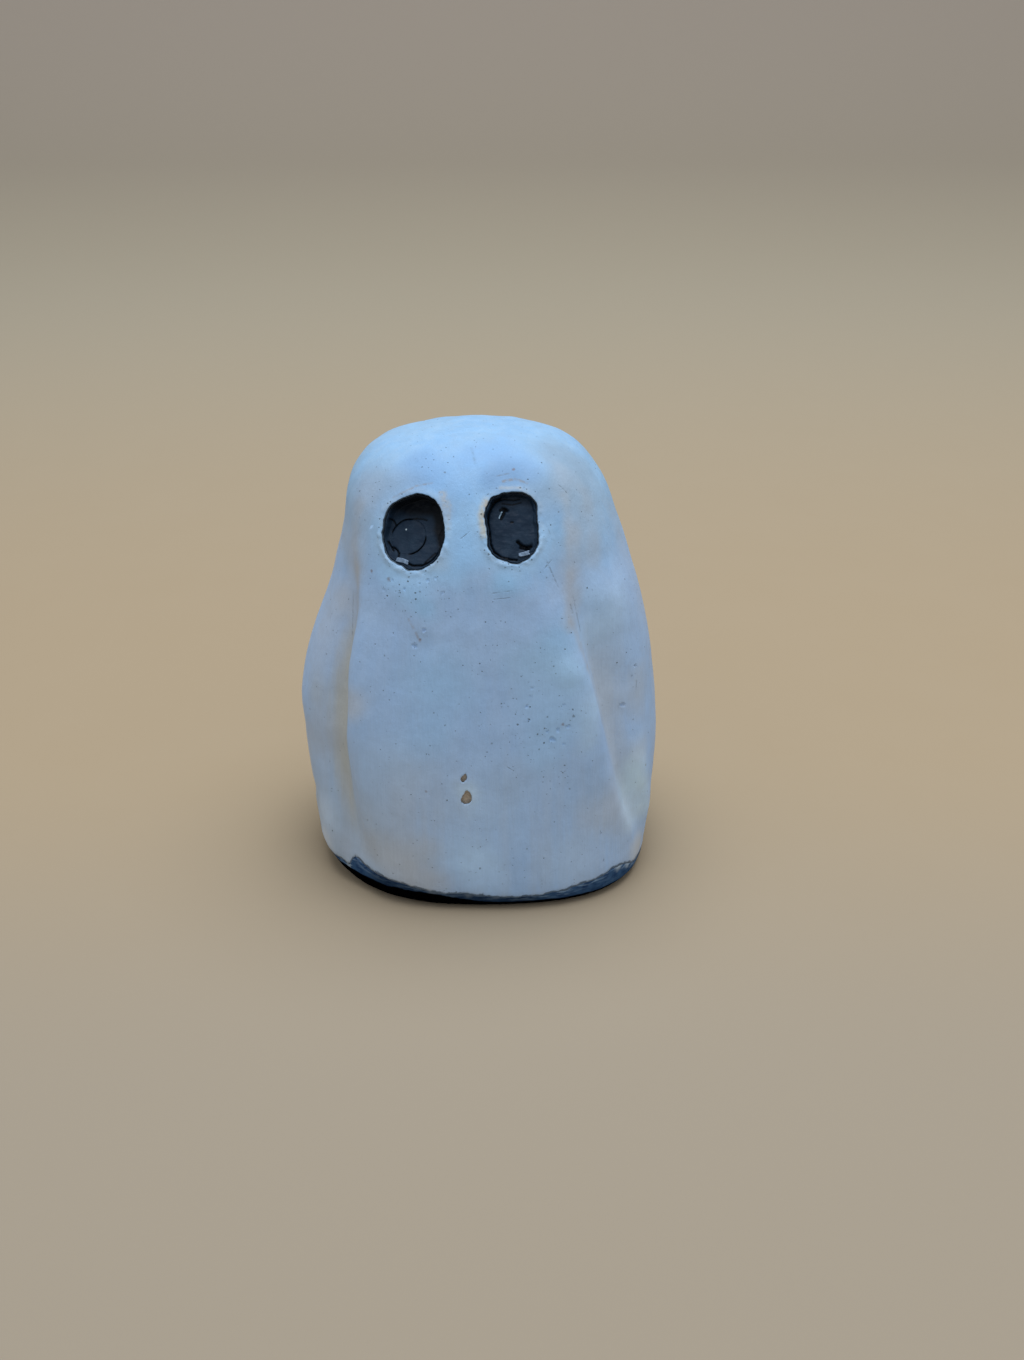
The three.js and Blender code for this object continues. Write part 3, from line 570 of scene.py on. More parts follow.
class Hole:
    """The outline of an eye or a chip, on its seat."""

    def __init__(self, place, count, roughness, nick):
        self.seat = Seat(place)
        self.smooth = smooth_outline(place["outline"], count)
        self.rough = ragged(self.smooth, roughness, nick, place["seed"])
        window = range(-count // 14, count // 14 + 1)
        self.calm = self.smooth
        for _ in range(2):
            self.calm = np.mean([np.roll(self.calm, shift, axis=0) for shift in window], axis=0)

    def outline(self, away):
        """The ragged edge, or a line let out from it (or drawn in), which soon runs smooth."""
        calm = min(max(away / 0.9, 0), 1)
        line = self.smooth + (self.calm - self.smooth) * calm
        return let_out(line, away) + (self.rough - self.smooth) * math.exp(-abs(away) / 0.5)

    def on_sheet(self, away, raised=0.0):
        """The points of the sheet under such a line, or raised above it."""
        turn, step = self.seat.on_sheet(self.outline(away))
        return sheet(turn, step, -raised)

    def level(self, away):
        """How far the sheet stands out of the seat's plane along the outline."""
        return self.seat.local(self.on_sheet(away))[:, 2]

    def below(self, away, level):
        """A ring at a level of the seat's own third axis."""
        return self.seat.world(self.outline(away), level)


def eye_lip(flat, away):
    """How far the coat swells round an eye: most below it, and unevenly."""
    below = np.clip(0.5 - flat[:, 1] / 9, 0, 1)
    crest = math.exp(-((away - LIP_AWAY) / LIP_WIDTH) ** 2) * min(1, (EYE_APRON[0] - away) / 0.9)
    crumbs = 1 + 1.1 * unevenness(flat, 1.5, 51) + 0.8 * unevenness(flat, 0.6, 52)
    return (LIP_HEIGHT + LIP_BELOW * below) * crest * crumbs - EDGE_WEAR * math.exp(-away / EDGE_WIDTH)


# The white coat

def profile_lengths():
    """Length along the figure's side from the foot up to each entry of STEP_TABLE."""
    points = plain_point(np.full_like(STEP_TABLE, 45.0), STEP_TABLE)
    return np.concatenate([[0], np.cumsum(np.linalg.norm(np.diff(points, axis=0), axis=1))])


LENGTH_TABLE = profile_lengths()


def hem_at(turn):
    """Height of the brushed line, with the nicks that the brush left."""
    around = np.stack([np.sin(np.radians(turn)), np.cos(np.radians(turn)), 0 * turn], -1) * HALF_WIDTH
    nicks = 0.3 * unevenness(around, 2.4, 21) + 0.16 * unevenness(around, 0.9, 22)
    return rows_at(HEM, wrapped(turn))[:, 1] + nicks


def even_turns(count):
    even = np.linspace(-180, 180, count, endpoint=False)
    return even - np.degrees(FRONT_CROWDING) * np.sin(np.radians(even))


def coat_grid():
    """Points and faces of the coat from the brushed line up to the crown, with no holes yet."""
    turns = even_turns(TURNS)
    start = np.interp(step_at(hem_at(turns)), STEP_TABLE, LENGTH_TABLE)
    share = (np.arange(ROWS) / ROWS)[:, None]
    length = start + (LENGTH_TABLE[-1] - start) * share
    step = np.interp(length, LENGTH_TABLE, STEP_TABLE).ravel()
    thinning = 0.1 * np.exp(-(length - start).ravel() / 0.5)
    points = sheet(np.tile(turns, ROWS), step, thinning)
    crown = len(points)
    points = np.vstack([points, [[0, 0, points[-TURNS:, 2].mean() + 0.01]]])
    faces = ring_faces(ROWS, TURNS).tolist()
    faces += [(crown - TURNS + i, crown - TURNS + (i + 1) % TURNS, crown) for i in range(TURNS)]
    return points, faces


def near_hole(points, hole, reach):
    """Which points lie over a hole's outline let out by a reach."""
    local = hole.seat.local(points)
    near = (np.abs(local[:, :2]).max(1) < HOLE_SPAN) & (local[:, 2] > -HOLE_DEPTH)
    near[near] = inside(hole.outline(reach), local[near, :2])
    return near


def eye_patch(hole):
    """Rings of the coat round an eye: across its lip and down its cut edge."""
    rings = []
    for away in EYE_APRON:
        rings.append(hole.on_sheet(away, eye_lip(hole.outline(away), away)))
    edge = hole.seat.local(rings[-1])[:, 2]
    for deep in EYE_WALL:
        rings.append(hole.below(-0.06 * min(deep / 0.2, 1), edge - deep))
    return rings


def nearest_hole(edge, holes):
    """The hole whose apron ends by an edge of the coat's grid, or None away from them all."""
    if not edge.is_boundary or edge.verts[0].co.z < HEIGHT / 2:
        return None
    middle = (edge.verts[0].co + edge.verts[1].co) / 2
    away = []
    for hole in holes:
        local = hole.seat.local(np.array([middle[:]]))[0]
        away.append(np.linalg.norm(hole.outline(EYE_APRON[0]) - local[:2], axis=1).min())
    return holes[int(np.argmin(away))]


def coat_with_eyes(holes):
    """The coat's outer surface as a bmesh, with a fine patch round each eye."""
    points, faces = coat_grid()
    gone = np.zeros(len(points), bool)
    for hole in holes:
        gone |= near_hole(points, hole, EYE_APRON[0] + 0.25)
    faces = [face for face in faces if not gone[list(face)].any()]
    grid_count = len(points)
    parts, rims = [points], []
    for hole in holes:
        first = sum(len(part) for part in parts)
        rings = eye_patch(hole)
        rims.append((hole, first))
        parts.append(np.vstack(rings))
        faces += ring_faces(len(rings), RIM_POINTS, first).tolist()
    mesh = bpy.data.meshes.new("coat_with_eyes")
    mesh.from_pydata(np.vstack(parts).tolist(), [], faces)
    bm = bmesh.new()
    bm.from_mesh(mesh)
    bpy.data.meshes.remove(mesh)
    bm.verts.ensure_lookup_table()
    for hole, first in rims:
        edges = []
        for edge in bm.edges:
            ends = [v.index for v in edge.verts]
            on_patch = all(first <= i < first + RIM_POINTS for i in ends)
            on_grid = all(i < grid_count for i in ends) and nearest_hole(edge, holes) is hole
            if edge.is_boundary and (on_patch or on_grid):
                edges.append(edge)
        bmesh.ops.bridge_loops(bm, edges=edges)
    bmesh.ops.delete(bm, geom=[v for v in bm.verts if not v.link_faces], context="VERTS")
    return bm


def refine(bm, centre, reach, cuts):
    """Splits the faces about a point of the sheet, so that a small form fits on them."""
    centre = Vector(centre)
    close = {e for e in bm.edges if min((v.co - centre).length for v in e.verts) < reach}
    bmesh.ops.subdivide_edges(bm, edges=list(close), cuts=cuts, use_grid_fill=True)


def press_pit(bm, pit):
    """Presses a small pit with a slightly raised edge into the coat."""
    turn, height, radius, depth = pit
    seat = Seat({"turn": turn, "height": height})
    refine(bm, seat.origin, radius * 2, 4)
    centre, out = Vector(seat.origin), Vector(seat.out)
    for v in bm.verts:
        away = (v.co - centre).length / radius
        if away > 2.2:
            continue
        angle = math.atan2((v.co - centre).dot(Vector(seat.up)), (v.co - centre).dot(Vector(seat.right)))
        away *= 1 + 0.18 * math.sin(2 * angle + turn) + 0.1 * math.sin(3 * angle + height)
        v.co -= out * depth * (math.exp(-(away**4)) - 0.16 * math.exp(-((away - 1.35) / 0.3) ** 2))


def cut_chip(bm, place):
    """Breaks a chip out of the coat: the mesh ends at the chip's own ragged edge."""
    hole = Hole(place, CHIP_POINTS, *CHIP_RAGGED)
    seat = hole.seat
    points = np.array([v.co[:] for v in bm.verts])
    gone = near_hole(points, hole, 0.0)
    bmesh.ops.delete(bm, geom=[v for v, lost in zip(list(bm.verts), gone) if lost], context="VERTS")
    edge = hole.outline(0.0)
    for v in bm.verts:
        if not v.is_boundary or (v.co - Vector(seat.origin)).length > 2.5:
            continue
        local = seat.local(np.array([v.co[:]]))[0]
        away = np.linalg.norm(edge - local[:2], axis=1)
        if away.min() < 0.3:
            nearest = edge[away.argmin()]
            v.co = seat.world(nearest[None], local[2:] - 0.06)[0]


def patch_colours(points):
    """Colour that the soft patches lay over the coat, and how much of the paint under them still shows."""
    over, clear = np.zeros((len(points), 3)), np.ones((len(points), 1))
    patches = [((turn, height), (turn, height), *rest) for turn, height, *rest in TONE_AND_LIGHT_PATCHES]
    for number, (start, end, radius, strength, tint) in enumerate(patches + BANDS):
        start, end = np.array(on_coat(*start)), np.array(on_coat(*end))
        along = end - start
        share = np.clip((points - start) @ along / max(along @ along, 1e-9), 0, 1)
        away = np.linalg.norm(points - start - share[:, None] * along, axis=1)
        near = np.flatnonzero(away < 1.5 * radius)
        ragged_edge = 0.45 * radius * unevenness(points[near], radius, number + 0.5)
        share = np.clip(1 - (away[near] + ragged_edge) / radius, 0, 1)[:, None]
        share = strength * share**2 * (3 - 2 * share)
        over[near] += share * (np.array(tint) - over[near])
        clear[near] *= 1 - share
    return np.hstack([over, clear])


def paint_attributes(mesh, holes):
    """Writes what the coat's finish and relief follow, worked out from where each point lies."""
    points = points_of(mesh)
    turn = turn_of(points)
    radius = np.linalg.norm(points[:, :2], axis=1)
    height = points[:, 2]
    fold = -fold_offset(turn, height, radius, SHADED_FOLDS) / RIGHT_FOLD
    rise = height - hem_at(turn)
    rim = np.full(len(points), NO_RIM)
    for hole in holes:
        local = hole.seat.local(points)
        edge = hole.outline(0.0)
        for i in np.flatnonzero((np.abs(local[:, :2]).max(1) < 11) & (local[:, 2] > -5)):
            rim[i] = min(rim[i], np.linalg.norm(edge - local[i, :2], axis=1).min())
    relief = np.clip(rise / 1.5, 0, 1) * np.clip((rim - 0.2) / 1.6, 0, 1)
    for name, values in (("fold", np.clip(fold, 0, 1)), ("hem_rise", rise), ("rim", rim), ("relief", relief)):
        write_values(mesh, name, values)
    tone_and_light = mesh.attributes.new("tone_and_light", "FLOAT_COLOR", "POINT")
    tone_and_light.data.foreach_set("color", patch_colours(points).astype(np.float32).ravel())


def relief_tree(material):
    """Geometry Nodes that work the surface over: brush streaks, thumb marks and small dimples."""
    tree = bpy.data.node_groups.new("brushed_relief", "GeometryNodeTree")
    face = tree.interface
    face.new_socket("Geometry", in_out="INPUT", socket_type="NodeSocketGeometry")
    for label in ("Streak width", "Streak length", "Streak height", "Dimple size", "Dimple depth", "Seed"):
        face.new_socket(label, in_out="INPUT", socket_type="NodeSocketFloat")
    face.new_socket("Geometry", in_out="OUTPUT", socket_type="NodeSocketGeometry")
    t = Tree(tree)
    source = tree.nodes.new("NodeGroupInput").outputs
    place = t.node("GeometryNodeInputPosition")
    across, along, spread = (t.math("DIVIDE", 1.0, source[label])
                             for label in ("Streak width", "Streak length", "Dimple size"))
    height = 0.0
    for stretched, detail, size in (
            (t.vector("MULTIPLY", place, t.triple(across, across, along)), 2.0, source["Streak height"]),
            (t.scaled(place, spread), 3.0, source["Dimple depth"])):
        inputs = {"Vector": stretched, "W": source["Seed"], "Scale": 1.0, "Detail": detail}
        marks = t.node("ShaderNodeTexNoise", inputs, noise_dimensions="4D")
        height = t.plus(height, t.times(t.less(marks, 0.5), size))
    mask = t.node("GeometryNodeInputNamedAttribute", {"Name": "relief"}, data_type="FLOAT")
    offset = t.scaled(t.node("GeometryNodeInputNormal"), t.times(height, mask))
    moved = t.node("GeometryNodeSetPosition", {"Geometry": source["Geometry"], "Offset": offset})
    real = t.node("GeometryNodeRealizeInstances", {"Geometry": moved})
    done = t.node("GeometryNodeSetMaterial", {"Geometry": real, "Material": material})
    sink = tree.nodes.new("NodeGroupOutput")
    tree.links.new(done, sink.inputs["Geometry"])
    return tree


def apply_modifiers(piece):
    """Replaces a piece's mesh with what its modifiers make of it."""
    graph = bpy.context.evaluated_depsgraph_get()
    graph.update()
    mesh = bpy.data.meshes.new_from_object(piece.evaluated_get(graph))
    piece.modifiers.clear()
    piece.data = mesh


def work_over(piece, material, **sizes):
    """Runs the relief's nodes on a piece."""
    relief = piece.modifiers.new("relief", "NODES")
    relief.node_group = relief_tree(material)
    for item in relief.node_group.interface.items_tree:
        if item.in_out == "INPUT" and item.name in sizes:
            relief[item.identifier] = sizes[item.name]
    apply_modifiers(piece)


def thicken(piece, thickness):
    """Gives a surface its thickness inwards, and its cut edges."""
    solid = piece.modifiers.new("thickness", "SOLIDIFY")
    solid.thickness = thickness * MM
    solid.offset = -1
    solid.use_rim = True
    apply_modifiers(piece)


def make_coat(holes, material):
    bm = coat_with_eyes(holes)
    for pit in PITS:
        press_pit(bm, pit)
    refine(bm, Seat(BETWEEN_CHIPS).origin, 3.2, 5)
    for chip in (LOW_CHIP, HIGH_CHIP):
        cut_chip(bm, chip)
    mesh = bpy.data.meshes.new("coat")
    bm.to_mesh(mesh)
    bm.free()
    paint_attributes(mesh, holes)
    mesh.transform(Matrix.Scale(MM, 4))
    mesh.materials.append(material)
    mesh.shade_smooth()
    coat = bpy.data.objects.new("coat", mesh)
    bpy.context.scene.collection.objects.link(coat)
    sizes = {"Streak width": 1.1 * MM, "Streak length": 9 * MM, "Streak height": 0.08 * MM,
             "Dimple size": 2.4 * MM, "Dimple depth": 0.16 * MM, "Seed": 4.0}
    work_over(coat, material, **sizes)
    thicken(coat, COAT)
    return coat


# The clay, the foot and the eyes

def make_clay(holes, material):
    """The clay under the coat, which shows only in the chips. It is drawn in behind the eyes."""
    turns = even_turns(CLAY_TURNS)
    lowest = SOLE + JOINT
    rings = []
    heights = np.concatenate([[lowest], np.linspace(SOLE + 0.8, HEIGHT - 0.5, CLAY_ROWS)])
    for height in heights:
        step = step_at(np.full(len(turns), height))
        inset = COAT + 0.03 + 0.28 * (1 - np.clip((height - BARE_CLAY) / 1.5, 0, 1))
        ring = sheet(turns, step, inset)
        for hole in holes:
            behind = near_hole(ring, hole, 1.2)
            deeper = sheet(turns, step, inset + BEHIND_EYE)
            ring[behind] = deeper[behind]
        ring[:, 2] = np.maximum(ring[:, 2], lowest)
        rings.append(ring)
    rings[0][:, 2] = lowest
    top = np.array([0, 0, rings[-1][:, 2].mean() + 0.05])
    return stacked("clay", rings, np.array([0, 0, lowest]), top, material)


def make_foot(material):
    """The navy coat: under the foot, round its bottom edge and up to a ragged line under the white."""
    turns = even_turns(360)
    top = hem_at(turns)
    rings = []
    for share in (0.45, 0.8, 1.0):
        ring = sheet(turns, np.zeros_like(turns), FOOT_ROUND + 0.05) * share
        ring[:, 2] = 0
        rings.append(ring)
    for angle in np.radians((18, 36, 54, 72)):
        height = FOOT_ROUND * (1 - math.cos(angle))
        ring = sheet(turns, step_at(np.full_like(turns, height)), STEP_DOWN + 0.9 * (1 - math.sin(angle)))
        ring[:, 2] = height
        rings.append(ring)
    for share in np.linspace(0, 1, 9):
        height = FOOT_ROUND + (top - 0.05 - FOOT_ROUND) * share
        rings.append(sheet(turns, step_at(height), STEP_DOWN))
    under = COAT + 0.04
    rings.append(sheet(turns, step_at(top + 0.05), under))
    rings.append(sheet(turns, step_at(top + OVERLAP), under))
    rings.append(sheet(turns, step_at(top + OVERLAP), under + 0.12))
    low = sheet(turns, step_at(np.full_like(turns, SOLE)), under + 0.12)
    low[:, 2] = SOLE
    rings.append(low)
    foot = stacked("foot", rings, np.zeros(3), np.array([0, 0, SOLE]), material)
    points = points_of(foot.data) / MM
    write_values(foot.data, "hem_rise", points[:, 2] - hem_at(turn_of(points)))
    return foot


def away_from_line(flat, line):
    """Distance of each place from a bent line."""
    nearest = np.full(len(flat), 99.0)
    for start, end in zip(line, line[1:]):
        start, along = np.array(start), np.array(end) - np.array(start)
        share = np.clip((flat - start) @ along / (along @ along), 0, 1)
        nearest = np.minimum(nearest, np.linalg.norm(flat - start - share[:, None] * along, axis=1))
    return nearest


def floor_level(flat, eye, cracked=True):
    """The pressed floor of an eye in its seat's frame: leaning, uneven, and cracked or not."""
    depth, by_right, by_up = eye["floor"]
    seed = eye["seed"]
    level = -depth - by_right * flat[:, 0] - by_up * flat[:, 1]
    level += (0.16 * unevenness(flat, 3.0, seed) + 0.1 * unevenness(flat, 1.2, seed + 1)
              + 0.04 * unevenness(flat, 0.5, seed + 2))
    for line, width, deep in eye["cracks"] if cracked else ():
        away = away_from_line(flat, line) * (1 + 0.5 * unevenness(flat, 0.5, seed + 3))
        level -= deep * np.exp(-((away / width) ** 2))
    return level


def angle_mask(flat, centre, low, high, soft=12.0):
    """From 0 to 1 where the direction from a centre lies between two angles, softly ended."""
    angle = np.degrees(np.arctan2(flat[:, 1] - centre[1], flat[:, 0] - centre[0]))
    middle, half = (low + high) / 2, (high - low) / 2
    aside = np.abs(wrapped(angle - middle)) - half
    return np.clip(0.5 - aside / soft, 0, 1)


def stands_open(flat):
    """From 0 to 1 where the pellet's edge stands open."""
    above, right = (angle_mask(flat, PELLET_CENTRE, *arc) for arc in OPEN_ARCS)
    return np.maximum(above, right)


def eye_walls(hole, eye):
    """Rings of an eye's lining from its back, round its rim and down its tool-cut wall to the floor."""
    level = hole.level(0.0)
    back = -eye["back"]
    rings = [hole.below(-1.2, back), hole.below(-0.4, back), hole.below(-0.14, back + 0.3)]
    rings.append(hole.below(-0.14, np.minimum(level, 0) - 1.2))
    cut = 0.1 * unevenness(hole.rough, 1.0, 61) + 0.06 * unevenness(hole.rough, 0.4, 62)
    lift = 0.26 * angle_mask(hole.smooth, (0, 0), *eye["raised"], soft=40.0)
    lift *= 1 + 0.8 * unevenness(hole.rough, 1.3, 64)
    for inset, drop in ((0.12, 0.5), (0.13, 0.42), (0.17, 0.38), (0.24, 0.38), (0.3, 0.44)):
        flat = let_out(hole.outline(-inset), cut * (inset > 0.15))
        rings.append(hole.seat.world(flat, level - drop + lift))
    for share in (0.15, 0.3, 0.5, 0.7, 0.86, 0.96):
        flat = let_out(hole.outline(-0.3 - 0.3 * share), cut * (1 + math.sin(4 * share)))
        floor = floor_level(flat, eye)
        wall = (level + lift - 0.46) * (1 - share) + floor * share
        rings.append(hole.seat.world(flat, wall))
    return rings


def paint_eye_shade(piece, hole, eye, ringed=False):
    """Writes where an eye's floor is painted black as shade: in its cracks and under its deepest rim."""
    flat = hole.seat.local(points_of(piece.data) / MM)[:, :2]
    painted_shade = np.zeros(len(flat))
    wander = 1 + 0.4 * unevenness(flat, 0.5, 71)
    for line, width, _ in eye["cracks"]:
        away = away_from_line(flat, line) * wander
        painted_shade = np.maximum(painted_shade, np.exp(-((away / (width * 1.15)) ** 4)))
    if ringed:
        beside = np.linalg.norm(flat - PELLET_CENTRE, axis=1) - (PELLET_RADIUS + 0.07)
        painted_shade = np.maximum(painted_shade, stands_open(flat) * np.exp(-((beside / 0.14) ** 4)))
    above, over, beside = eye["shaded"]
    wave = 0.5 * unevenness(flat, 2.0, 72)
    painted_shade = np.maximum(painted_shade, np.clip((flat[:, 1] + wave - above) / over, 0, 1) * 0.9)
    aside = flat[:, 0] + 0.45 * flat[:, 1] + wave - beside
    painted_shade = np.maximum(painted_shade, np.clip(aside / 0.9, 0, 1) * 0.88)
    write_values(piece.data, "painted_shade", painted_shade)
    return piece


def make_left_eye(hole, material):
    """The left eye's lining: a tool-cut wall, and a floor with a round recess for the pellet."""
    centre = np.array(PELLET_CENTRE)
    rings = eye_walls(hole, LEFT_EYE)
    edge = hole.outline(-WALL_FOOT)
    out = edge - centre
    reach = np.linalg.norm(out, axis=1, keepdims=True)
    gap = 0.02 + stands_open(edge) * (0.17 + 0.12 * unevenness(edge, 1.2, 63))
    recess = (PELLET_RADIUS + gap)[:, None]
    for share in np.linspace(0, 1, 22):
        flat = centre + out / reach * (reach * (1 - share) + recess * share)
        rings.append(hole.seat.world(flat, floor_level(flat, LEFT_EYE)))
    deep = PELLET_THICKNESS + 0.1
    for flat in (centre + out / reach * recess, centre + out / reach):
        rings.append(hole.seat.world(flat, floor_level(flat, LEFT_EYE, False) - deep))
    end = floor_level(centre[None], LEFT_EYE, False) - deep
    start = hole.seat.world(centre[None], -LEFT_EYE["back"])[0]
    lining = stacked("left_eye_lining", rings, start, hole.seat.world(centre[None], end)[0], material)
    return paint_eye_shade(lining, hole, LEFT_EYE, ringed=True)


def make_pellet(hole, material):
    """The round pellet pressed into the left eye, a little domed and worked over."""
    centre = np.array(PELLET_CENTRE)
    around = circle(150)
    rings = []
    is_open = stands_open(centre + around)
    for radius, below in ((0.7, PELLET_THICKNESS), (2.5, PELLET_THICKNESS), (2.66, 0.68),
                          (PELLET_RADIUS, 0.45), (PELLET_RADIUS, 0.14), (2.67, 0.07), (2.6, 0.02),
                          (2.5, -0.01)):
        flat = centre + around * radius
        drop = below * (0.1 + 0.9 * is_open) if below < 0.4 else below
        level = floor_level(flat, LEFT_EYE, below < 0.4) - drop
        rings.append(hole.seat.world(flat, level))
    for radius in np.linspace(2.38, 0.14, 18):
        flat = centre + around * radius
        level = floor_level(flat, LEFT_EYE) + 0.01 + 0.05 * (1 - (radius / 2.5) ** 2)
        rings.append(hole.seat.world(flat, level))
    middle = floor_level(centre[None], LEFT_EYE)
    start = hole.seat.world(centre[None], middle - PELLET_THICKNESS)[0]
    end = hole.seat.world(centre[None], middle + 0.06)[0]
    disc = stacked("left_eye_disc", rings, start, end, material)
    return paint_eye_shade(disc, hole, LEFT_EYE, ringed=True)


def make_right_eye(hole, material):
    """The right eye's lining: a smooth floor with cracks along its edges, a nick and a tear."""
    rings = eye_walls(hole, RIGHT_EYE)
    edge = hole.outline(-WALL_FOOT)
    centre = edge.mean(0)
    for share in np.linspace(0, 0.97, 40):
        flat = edge + (centre - edge) * share
        rings.append(hole.seat.world(flat, floor_level(flat, RIGHT_EYE)))
    start = hole.seat.world(centre[None], -RIGHT_EYE["back"])[0]
    end = hole.seat.world(centre[None], floor_level(centre[None], RIGHT_EYE))[0]
    lining = stacked("right_eye_lining", rings, start, end, material)
    return paint_eye_shade(lining, hole, RIGHT_EYE)


def make_flake(name, hole, place, size, tilt, level, seed, material):
    """A curled crumb of coat on an eye's floor."""
    round_edge = circle(48)
    angle = np.linspace(0, 2 * math.pi, 48, endpoint=False)
    ragged_edge = 1 + 0.06 * np.sin(3 * angle + seed) + 0.05 * np.sin(5 * angle + 2 * seed)
    squarer = round_edge / np.maximum(np.abs(round_edge).max(1, keepdims=True), 0.73)
    turn = np.array([[math.cos(tilt), math.sin(tilt)], [-math.sin(tilt), math.cos(tilt)]])
    rings, shares = [], (0.3, 0.65, 0.9, 1.0, 1.0, 0.94, 0.75, 0.5, 0.25)
    lifts = (-0.1, -0.1, -0.1, -0.04, 0.1, 0.17, 0.19, 0.18, 0.18)
    for share, lift in zip(shares, lifts):
        flat = squarer * ragged_edge[:, None] * np.array(size) / 2 * share
        curl = 0.12 * (flat[:, 0] / size[0] * 2) ** 2
        bumps = 0.03 * unevenness(flat, 0.45, seed) * (lift > 0)
        flat = flat @ turn + np.array(place)
        rings.append(hole.seat.world(flat, level + lift + curl + bumps))
    start, end = (hole.seat.world(np.array([place]), level + lift)[0] for lift in (lifts[0], lifts[-1]))
    return stacked(name, rings, start, end, material)


# Finishes

class Tree:
    """Adds nodes to a node tree. Each method gives back the socket that carries the result."""

    def __init__(self, tree):
        self.tree = tree

    def feed(self, socket, value):
        """Joins a result to a socket, or writes a plain value into it."""
        if isinstance(value, bpy.types.NodeSocket):
            self.tree.links.new(value, socket)
        else:
            socket.default_value = value

    def node(self, kind, inputs=None, output=0, **settings):
        made = self.tree.nodes.new(kind)
        for name, value in settings.items():
            setattr(made, name, value)
        for name, value in (inputs or {}).items():
            self.feed(made.inputs[name], value)
        return made.outputs[output]

    def math(self, operation, a, b=0.0, clamp=False):
        return self.node("ShaderNodeMath", {0: a, 1: b}, operation=operation, use_clamp=clamp)

    def times(self, value, *others):
        for other in others:
            value = self.math("MULTIPLY", value, other)
        return value

    def plus(self, value, *others):
        for other in others:
            value = self.math("ADD", value, other)
        return value

    def less(self, a, b):
        return self.math("SUBTRACT", a, b)

    def most(self, a, b):
        return self.math("MAXIMUM", a, b)

    def vector(self, operation, a, b, output=0):
        return self.node("ShaderNodeVectorMath", {0: a, 1: b}, output, operation=operation)

    def scaled(self, vector, by):
        return self.node("ShaderNodeVectorMath", {"Vector": vector, "Scale": by}, operation="SCALE")

    def length(self, vector):
        return self.node("ShaderNodeVectorMath", {0: vector}, 1, operation="LENGTH")

    def along(self, place, axis):
        return self.node("ShaderNodeSeparateXYZ", {0: place}, "XYZ".index(axis))

    def triple(self, x, y, z):
        return self.node("ShaderNodeCombineXYZ", {0: x, 1: y, 2: z})

    def noise(self, place, scale, detail=2.0, rough=0.5, output=0):
        inputs = {"Vector": place, "Scale": scale, "Detail": detail, "Roughness": rough}
        return self.node("ShaderNodeTexNoise", inputs, output)

    def written(self, name, output=2):
        """What a piece's own attribute says: a colour (output 0), a value (2) or an alpha (3)."""
        return self.node("ShaderNodeAttribute", output=output, attribute_name=name)

    def mix(self, share, a, b, blend="MIX"):
        """A colour a share of the way from a to b."""
        made = self.tree.nodes.new("ShaderNodeMix")
        made.data_type, made.blend_type = "RGBA", blend
        for index, value in ((0, share), (6, a), (7, b)):
            self.feed(made.inputs[index], (*value, 1.0) if isinstance(value, tuple) else value)
        return made.outputs[2]

    def ramp(self, value, start, end, low=0.0, high=1.0):
        """The value carried over smoothly from one range to another, and held beyond its ends."""
        inputs = {"Value": value, "From Min": start, "From Max": end, "To Min": low, "To Max": high}
        return self.node("ShaderNodeMapRange", inputs, interpolation_type="SMOOTHSTEP")

    def group(self, group, **inputs):
        return self.node("ShaderNodeGroup", inputs, node_tree=group)


def effect(name, inputs, build):
    """A shader node group with one value as its result."""
    group = bpy.data.node_groups.new(name, "ShaderNodeTree")
    for label, default in inputs.items():
        kind = "NodeSocketVector" if isinstance(default, tuple) else "NodeSocketFloat"
        socket = group.interface.new_socket(label, in_out="INPUT", socket_type=kind)
        socket.default_value = default
    group.interface.new_socket("Value", in_out="OUTPUT", socket_type="NodeSocketFloat")
    source = group.nodes.new("NodeGroupInput").outputs
    result = build(Tree(group), source)
    group.links.new(result, group.nodes.new("NodeGroupOutput").inputs["Value"])
    return group


def build_streaks(t, given):
    """Fine upright brush marks, from 0 to 1, around a half."""
    across, along = (t.math("DIVIDE", 1.0, given[name]) for name in ("Width", "Length"))
    return t.noise(t.vector("MULTIPLY", given["Place"], t.triple(across, across, along)), 1.0, 3.0, 0.6)


def build_pinholes(t, given):
    """Tiny round holes: 1 in a hole and 0 outside. A share of the cells has one, each its own size."""
    scaled = t.scaled(given["Place"], t.math("DIVIDE", 1.0, given["Spacing"]))
    bent = t.vector("ADD", scaled, t.scaled(t.noise(scaled, 2.5, output=1), 0.16))
    cell = t.node("ShaderNodeTexVoronoi", {"Scale": 1.0, "Vector": bent}).node.outputs
    chance = t.node("ShaderNodeSeparateColor", {"Color": cell["Color"]}).node.outputs
    size = t.times(given["Radius"], t.plus(t.times(chance[0], 0.9), 0.5))
    away = t.times(cell["Distance"], given["Spacing"])
    hole = t.ramp(t.math("DIVIDE", away, t.most(size, 0.01)), 0.55, 1.0, 1.0, 0.0)
    return t.times(hole, t.math("LESS_THAN", chance[1], given["Share"]))


def build_spot(t, given):
    """A soft-edged spot about a place: 1 inside and 0 outside, with an uneven edge."""
    radius = given["Radius"]
    uneven = t.less(t.noise(given["Place"], t.math("DIVIDE", 0.9, radius)), 0.5)
    away = t.length(t.vector("SUBTRACT", given["Place"], given["Centre"]))
    away = t.plus(away, t.times(uneven, t.times(radius, 1.1)))
    return t.ramp(away, t.times(radius, given["Core"]), radius, 1.0, 0.0)


